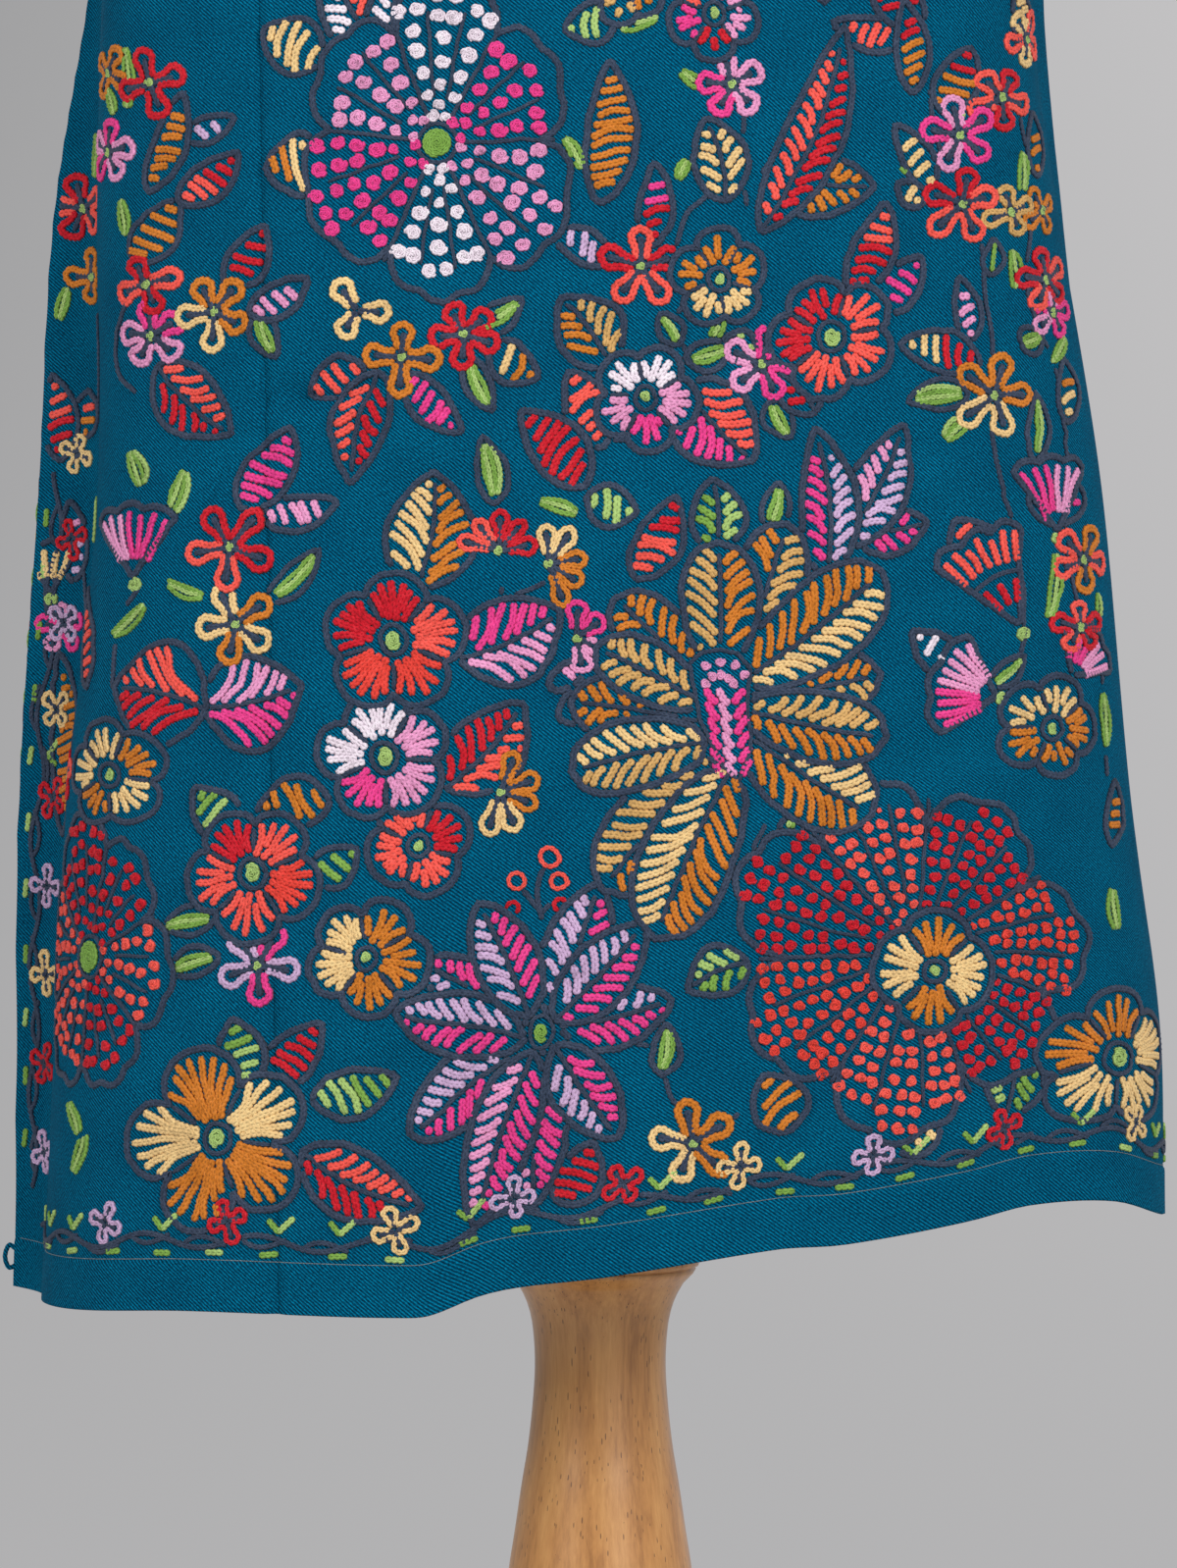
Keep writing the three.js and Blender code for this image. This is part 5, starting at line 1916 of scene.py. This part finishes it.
def ray_petals(motif, mm, rows, blunt, bow=0.02, grow=1.0):
    """Petals round one middle, drawn so that every second one lies on top."""
    for row in rows[::2] + rows[1::2]:
        middle = ((row["base_x"] + row["tip_x"]) / 2, (row["base_y"] + row["tip_y"]) / 2)
        m = motif(*middle)
        base, tip = (
            (mm(row[end + "_x"] - middle[0]), -mm(row[end + "_y"] - middle[1])) for end in ("base", "tip")
        )
        leaf_halves(m, base, tip, grow * mm(row["width"]), row["left"], row["right"], blunt, bow)
        m.done()


TUFT = table(
    "x y",
    (-17, 18),
    (-9, 24),
    (0, 26),
    (9, 24),
    (17, 16),
    (15, -2),
    (17, -30),
    (10, -47),
    (2, -38),
    (-11, -12),
)


def golden_flower(motif, mm):
    """Broad flower of ribbed petals with a tuft of pink stamens."""
    m = motif(*GOLDEN_MIDDLE)
    for k in range(9):
        turn = math.radians(35 + 110 * (k % 5) / 4)
        reach = 9.5 if k < 5 else 17.0
        m.disc("pale_pink", polar(reach, turn) + (0, 2), 3.4, 3.2, 2.8)
    for x, yarn in ((-8.5, "hot_pink"), (0, "pale_pink"), (8.5, "hot_pink")):
        for y in range(-40, 4, 8):
            drift = 3 - 0.1 * y
            lean = 0.45 if x > 0 else -0.45
            m.line(yarn, bent((x * 0.8 + drift - 4 * lean, y - 4), (x * 0.8 + drift + 8 * lean, y + 4), 0.08))
    m.outline(np.stack([TUFT["x"], TUFT["y"]], -1), width=2.8)
    m.done()
    ray_petals(motif, mm, GOLDEN_PETALS, 0.85, grow=1.13)


BERRIES = listing(
    "x y radius yarn",
    (527, 898, 11, "coral"),
    (570, 898, 11, "coral"),
    (522, 925, 9, "red"),
    (571, 922, 9, "red"),
    (560, 874, 12, "coral"),
)


def pink_star(motif, mm):
    """Pointed flower in two pinks with berries on thin stalks above it."""
    hub = motif(*STAR_MIDDLE)
    hub.disc("green", (0, 0), 4.4, 6.0)
    ring = np.linspace(0, 2 * math.pi, 20, endpoint=False)
    hub.line("slate", polar(7.4, np.append(ring, 0)) * (0.9, 1.2), 2.6)
    hub.claims.append(hub.on_cloth(polar(7.4, ring)))
    hub.done()
    ray_petals(motif, mm, STAR_PETALS, 0.3)
    for row in BERRIES:
        m = motif(row["x"], row["y"])
        berry(m, mm(row["radius"]) - 1.4, row["yarn"])
        m.done()


# Border along the hem and the slit edge

BORDER_RISE = 20
VINE_RISE = 11
VINE_SWING = 3.6
VINE_LENGTH = 66
VINE_WIDTH = 3.6
CURL_WIDTH = 3.2
LEAF_WIDTH = 4.0
BORDER_FLOWER = 13.0
HEM_FLOWERS_APART = 62
SLIT_FLOWERS_APART = 46
BORDER_COLOURS = ("lilac", "red", "cream")


def border_run(canvas, to_cloth, length, flowers, seed):
    """Vine with small four-petalled flowers; to_cloth takes distances along and in from the edge."""
    rng = np.random.default_rng(seed)

    def put(yarn, points, width):
        canvas.stroke(yarn, to_cloth(np.asarray(points, float)), width)

    for along, yarn in flowers:
        place = to_cloth(np.array([[along, BORDER_RISE + rng.uniform(-1, 2.5)]]))[0]
        m = Motif(canvas, place, seed=int(rng.integers(1 << 30)))
        loop_flower(m, BORDER_FLOWER, [yarn], 4, rng.uniform(0, 90), None)
        m.done()
    t = np.arange(0, length, 2.0)
    wave = VINE_RISE + VINE_SWING * np.sin(2 * math.pi * t / VINE_LENGTH)
    put("slate", np.stack([t, wave], -1), VINE_WIDTH)
    for start in np.arange(8, length - 30, VINE_LENGTH / 2):
        k = np.linspace(0, 1, 12)
        base = VINE_RISE + VINE_SWING * math.sin(2 * math.pi * start / VINE_LENGTH)
        high = 1 if rng.random() < 0.5 else -1
        curl = base + high * (4.2 * np.sin(math.pi * k**0.8)) + 0.6 * rng.normal()
        put("slate", np.stack([start + 24 * k, curl], -1), CURL_WIDTH)
        dash = start + rng.uniform(10, 16)
        low = 4.6 if base > VINE_RISE - 1 else 5.2
        green = "green" if rng.random() < 0.6 else "pale_green"
        put(green, [(dash, low), (dash + 9, low + rng.uniform(-0.6, 1.2))], LEAF_WIDTH)
        taken = [abs(start + 20 - along) for along, _ in flowers]
        if min(taken, default=99) > 18:
            at = start + 20
            put("green", [(at, 16.5), (at - 5, 22.5)], LEAF_WIDTH)
            put("pale_green", [(at, 16.5), (at + 8.5, 24.0)], LEAF_WIDTH)


HEM_FLOWERS = listing(
    "x y yarn",
    (108, 1242, "lilac"),
    (232, 1258, "red"),
    (403, 1270, "cream"),
    (524, 1246, "lilac"),
    (635, 1220, "red"),
    (755, 1195, "cream"),
    (890, 1187, "lilac"),
    (1023, 1172, "red"),
    (1157, 1165, "cream"),
)

# Other colours for the motifs that repeat where the camera doesn't see them
SECOND_DYE = {
    "red": "ochre",
    "ochre": "red",
    "coral": "cream",
    "cream": "coral",
    "hot_pink": "vermilion",
    "pale_pink": "hot_pink",
    "tan": "pale_pink",
}
THIRD_DYE = {
    "red": "hot_pink",
    "coral": "pale_pink",
    "hot_pink": "red",
    "pale_pink": "coral",
    "lilac": "white",
}
PHOTO_HEM_Y = 1312
REPEAT_RISE = 520
UPPER_GROW = 0.94


def front_motifs(canvas):
    """Motifs in the camera's view, and sprigs that go on above it up to the chest."""
    draw_motifs(canvas, canvas.seen_at, 1000, None, lambda x, y: True)

    def above(pixel):
        x, y = pixel
        rise = (REPEAT_RISE - y) * MM_PER_PIXEL * UPPER_GROW
        top = HEM + (PHOTO_HEM_Y - 10) * MM_PER_PIXEL * UPPER_GROW
        across = (AXIS_PIXEL - x) * MM_PER_PIXEL * 0.86
        return np.array([across, top + rise]), np.diag([-UPPER_GROW, UPPER_GROW])

    draw_motifs(canvas, above, 21000, THIRD_DYE, lambda x, y: 40 < y < REPEAT_RISE and 200 < x < 1000)


def back_motifs(canvas):
    """The back repeats the front's plants, turned left to right and in other colours."""

    def behind(pixel):
        x, y = pixel
        place = np.array([(AXIS_PIXEL - x) * MM_PER_PIXEL, HEM + (PHOTO_HEM_Y - y) * MM_PER_PIXEL])
        return place, np.diag([-1.0, 1.0])

    draw_motifs(canvas, behind, 41000, SECOND_DYE, lambda x, y: y > -20)

    def above(pixel):
        x, y = pixel
        level = HEM + (PHOTO_HEM_Y + REPEAT_RISE - y) * MM_PER_PIXEL
        return np.array([(x - AXIS_PIXEL) * MM_PER_PIXEL * 0.9, level]), np.eye(2)

    draw_motifs(canvas, above, 61000, THIRD_DYE, lambda x, y: 160 < y < REPEAT_RISE and 200 < x < 1000)


def hem_border(canvas, start, end, flowers, seed):
    """Border along the hem from one distance from the middle to another."""
    low = HEM + HEM_BAND
    border_run(canvas, lambda p: np.stack([start + p[:, 0], low + p[:, 1]], -1), end - start, flowers, seed)


def slit_border(canvas, edge, inwards, count, shift, seed):
    """Border up one edge of the left slit."""
    low = HEM + HEM_BAND

    def up_the_slit(p):
        v = low + 30 + p[:, 0]
        return np.stack([canvas.side.edge(edge, v) + inwards + inwards * p[:, 1], v], -1)

    flowers = [(20 + SLIT_FLOWERS_APART * k, BORDER_COLOURS[(k + shift) % 3]) for k in range(count)]
    border_run(canvas, up_the_slit, SLIT_TOP - low - 10, flowers, seed)


def back_border(canvas):
    start = float(canvas.side.edge("start", HEM + HEM_BAND)) + 6
    end = float(canvas.side.edge("end", HEM + HEM_BAND)) - 22
    count = int((end - start - 30) / HEM_FLOWERS_APART) + 1
    flowers = [(26 + HEM_FLOWERS_APART * k, BORDER_COLOURS[k % 3]) for k in range(count)]
    hem_border(canvas, start, end, flowers, 73)
    slit_border(canvas, "end", -1, 8, 1, 74)


def front_border(canvas):
    start = float(canvas.side.edge("start", HEM + HEM_BAND)) + 22
    end = float(canvas.side.edge("end", HEM + HEM_BAND)) - 4
    flowers = [(canvas.seen_at((row["x"], row["y"]))[0][0] - start, row["yarn"]) for row in HEM_FLOWERS]
    hem_border(canvas, start, end, flowers, 71)
    slit_border(canvas, "start", 1, 9, 0, 72)


LOCKSTITCH = 2.0
LOCKSTITCH_PITCH = 2.75
THREAD_WIDTH = 0.75
THREAD_HEIGHT = 0.4


def machine_stitches(canvas):
    """Fine grey lockstitch that holds the turned hem."""
    level = HEM + HEM_BAND + 1.4
    a = float(canvas.side.edge("start", level)) + 4
    end = float(canvas.side.edge("end", level)) - 4
    while a < end:
        stitch = np.array([(a, level), (a + LOCKSTITCH, level)])
        canvas.lines["hem_thread"].append((stitch, THREAD_WIDTH, THREAD_HEIGHT, 1))
        a += LOCKSTITCH_PITCH


# Yarn meshes

def ring_of_yarn(width, height):
    """Cross-section of a stitch: both feet in the cloth, round on top."""
    foot = np.full_like(width, -0.3)
    corners = ((-0.5, foot), (-0.34, height), (0.34, height), (0.5, foot))
    return np.stack([np.stack([share * width, rise], -1) for share, rise in corners], 1)


def yarn_piece(name, yarn, canvases, look):
    """All the stitches of one colour on some sides as one mesh."""
    points = []
    faces = []
    maps = []
    base = 0
    for canvas in canvases:
        lines = canvas.lines.get(yarn, [])
        if not lines:
            continue
        counts = np.array([len(line[0]) for line in lines])
        flat = np.concatenate([line[0] for line in lines])
        first = np.repeat(np.concatenate([[0], np.cumsum(counts)[:-1]]), counts)
        order = np.arange(len(flat)) - first
        last = np.repeat(counts, counts) - 1
        width = np.repeat([line[1] for line in lines], counts)
        height = np.repeat([line[2] for line in lines], counts)
        places, normals = canvas.side.surface(flat[:, 0], flat[:, 1])
        ahead = np.minimum(np.arange(len(flat)) + 1, first + last)
        behind = np.maximum(np.arange(len(flat)) - 1, first)
        run = places[ahead] - places[behind]
        run /= np.maximum(np.linalg.norm(run, axis=1, keepdims=True), 1e-9)
        across = np.cross(normals, run)
        across /= np.maximum(np.linalg.norm(across, axis=1, keepdims=True), 1e-9)
        rings = np.repeat([line[3] for line in lines], counts)
        swell = np.where(rings == 1, 0.92, np.array([0.80, 1.0, 0.95])[order % rings])
        rise = np.where(rings == 1, 0.9, np.array([0.74, 1.0, 0.96])[order % rings])
        at_end = (order == 0) | (order == last)
        width = width * np.where(at_end, 0.62, swell)
        height = height * np.where(at_end, 0.55, rise)
        section = ring_of_yarn(width, height)
        ring = places[:, None] + across[:, None] * section[..., :1] + normals[:, None] * section[..., 1:]
        tip = np.where(order == 0, -0.5, np.where(order == last, 0.5, 0.0))
        ring = ring + (run * tip[:, None])[:, None]
        points.append(ring.reshape(-1, 3))
        index = base + np.arange(len(flat) * 4).reshape(-1, 4)
        here = index[order < last]
        there = index[np.flatnonzero(order < last) + 1]
        for k in range(4):
            n = (k + 1) % 4
            faces.append(np.stack([here[:, k], there[:, k], there[:, n], here[:, n]], -1))
        faces.append(index[order == 0])
        faces.append(index[order == last][:, ::-1])
        along = order * STITCH / rings * MM
        over = np.tile([0.0, 0.2, 0.8, 1.0], (len(flat), 1))
        maps.append(np.stack([np.repeat(along[:, None], 4, 1), over], -1).reshape(-1, 2))
        base += len(flat) * 4
    piece = make_object(name, np.concatenate(points), np.concatenate(faces))
    paint_map(piece, "strand", np.concatenate(maps))
    piece.data.materials.append(look)
    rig.ride(piece, "root")
    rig.slot(piece, "embroidery_yarn")
    return piece


def yarn_finish(name, colour):
    """Wool yarn in chain stitch: two strands that part and meet again at each link, with painted shade in the groove
    between them and along the yarn's edges.
    """
    s = Shader("yarn_" + name)
    strand = s.node("UVMap", uv_map="strand").outputs[0]
    parts = s.node("SeparateXYZ", {0: strand}).outputs
    link = s.math("FRACT", s.math("MULTIPLY", parts[0], 1000 / STITCH))
    arch = s.math("SINE", s.math("MULTIPLY", link, math.pi))
    away = s.math("ABSOLUTE", s.math("MULTIPLY_ADD", parts[1], 2.0, -1.0))
    gap = s.math("ABSOLUTE", s.math("SUBTRACT", away, s.math("MULTIPLY_ADD", arch, 0.3, 0.25)))
    groove = s.math("MINIMUM", s.math("MULTIPLY", gap, 1.9), 1.0)
    ridge = s.math("SUBTRACT", 1.0, s.math("MULTIPLY", groove, groove))
    place = s.node("TexCoord").outputs["Object"]
    fibre = s.noise(place, 1500, 3, 0.7)
    heather = s.noise(place, 480, 2, 0.6)
    dye = s.noise(place, 40, 2)
    dark = tuple(0.44 * c for c in colour[:3]) + (1,)
    light = tuple(min(c * 1.35 + 0.035, 1) for c in colour[:3]) + (1,)
    fine = s.math("MULTIPLY_ADD", fibre, 0.4, s.math("MULTIPLY", dye, 0.3))
    tone = s.math("MULTIPLY_ADD", heather, 0.5, fine)
    base = s.ramp(tone, (0.38, dark), (0.58, colour), (0.85, light))
    # Painted shade: the colour darkens to about half in the groove between the two strands and at the yarn's edges,
    # where shade would fall.
    shade = s.ramp(ridge, (0.0, (0.56, 0.56, 0.56, 1)), (0.6, (1, 1, 1, 1)))
    height = s.math("MULTIPLY_ADD", fibre, 0.5, ridge)
    return s.finish(
        base_color=s.mix(1.0, base, shade, "MULTIPLY"),
        roughness=0.72,
        specular_ior_level=0.22,
        sheen_weight=0.08,
        sheen_roughness=0.4,
        normal=s.bump(height, 0.0006, 0.9),
    )


front = Side(True)
back = Side(False)

front_canvas = Canvas(front)
front_border(front_canvas)
front_motifs(front_canvas)
machine_stitches(front_canvas)
back_canvas = Canvas(back)
back_border(back_canvas)
back_motifs(back_canvas)
machine_stitches(back_canvas)
both = [front_canvas, back_canvas]
for yarn, colour in YARNS.items():
    if yarn != "slate":
        yarn_piece("stitches_" + yarn, yarn, both, yarn_finish(yarn, colour))
slate_look = yarn_finish("slate", YARNS["slate"])
yarn_piece("front_outlines", "slate", [front_canvas], slate_look)
yarn_piece("back_outlines", "slate", [back_canvas], slate_look)
yarn_piece("hem_thread", "hem_thread", both, yarn_finish("hem_thread", srgb(150, 165, 170)))

wool_look = wool()
wood_look = wood()
gore_panel = panel(
    "front_side_cloth",
    front,
    [("start", "fold", 8, False), ("fold", "seam_left", 26, False)],
    5,
)
front_cloth = panel(
    "front_cloth",
    front,
    [
        ("seam_right", "neck_start", 20, False),
        ("neck_start", "neck_end", 34, True),
        ("neck_end", "end", 46, False),
    ],
    5,
)
back_cloth = panel(
    "back_cloth",
    back,
    [
        ("start", "neck_start", 30, False),
        ("neck_start", "neck_end", 24, True),
        ("neck_end", "end", 30, False),
    ],
    8,
)
sleeve_left = sleeve("sleeve_left_cloth", -1, front, back)
sleeve_right = sleeve("sleeve_right_cloth", 1, front, back)
neighbours = ["front_cloth", "back_cloth"]
SHEETS = listing(
    "piece node width length area rests_on",
    (gore_panel, "front_side_panel", 0.26, 1.12, 0.219, neighbours),
    (front_cloth, "front_panel", 0.60, 1.14, 0.596, ["form_torso"]),
    (back_cloth, "back_panel", 0.77, 1.14, 0.711, ["form_torso"]),
    (sleeve_left, "sleeve_left", 0.48, 0.25, 0.108, neighbours),
    (sleeve_right, "sleeve_right", 0.48, 0.25, 0.108, neighbours),
)
for row in SHEETS:
    dress(row["piece"], wool_look, "wool_cloth", row["node"])
for row in SHEETS:
    flat = (row["width"], row["length"])
    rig.sheet(row["piece"], flat=flat, held="hung", rests_on=row["rests_on"], area=row["area"])
dress(cord_loop(), wool_look, "wool_cloth", "slit_loop")
dress(column(), wood_look, "turned_wood", "stand_column")
for node, look in (("form_torso", cover()), ("form_post", steel()), ("stand_base", wood_look)):
    carried = frame["nodes"][node]
    carried.data.materials.clear()
    carried.data.materials.append(look)
    carried.data.polygons.foreach_set("use_smooth", np.ones(len(carried.data.polygons), bool))

stage()
backdrop()
camera()
bpy.context.scene.view_settings.view_transform = "Standard"
boxes = {"cad": [list(corner) for corner in CAD_BOX], "visual": [list(corner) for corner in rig.bounds()]}
with open("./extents.json", "w") as record:
    json.dump(boxes, record)
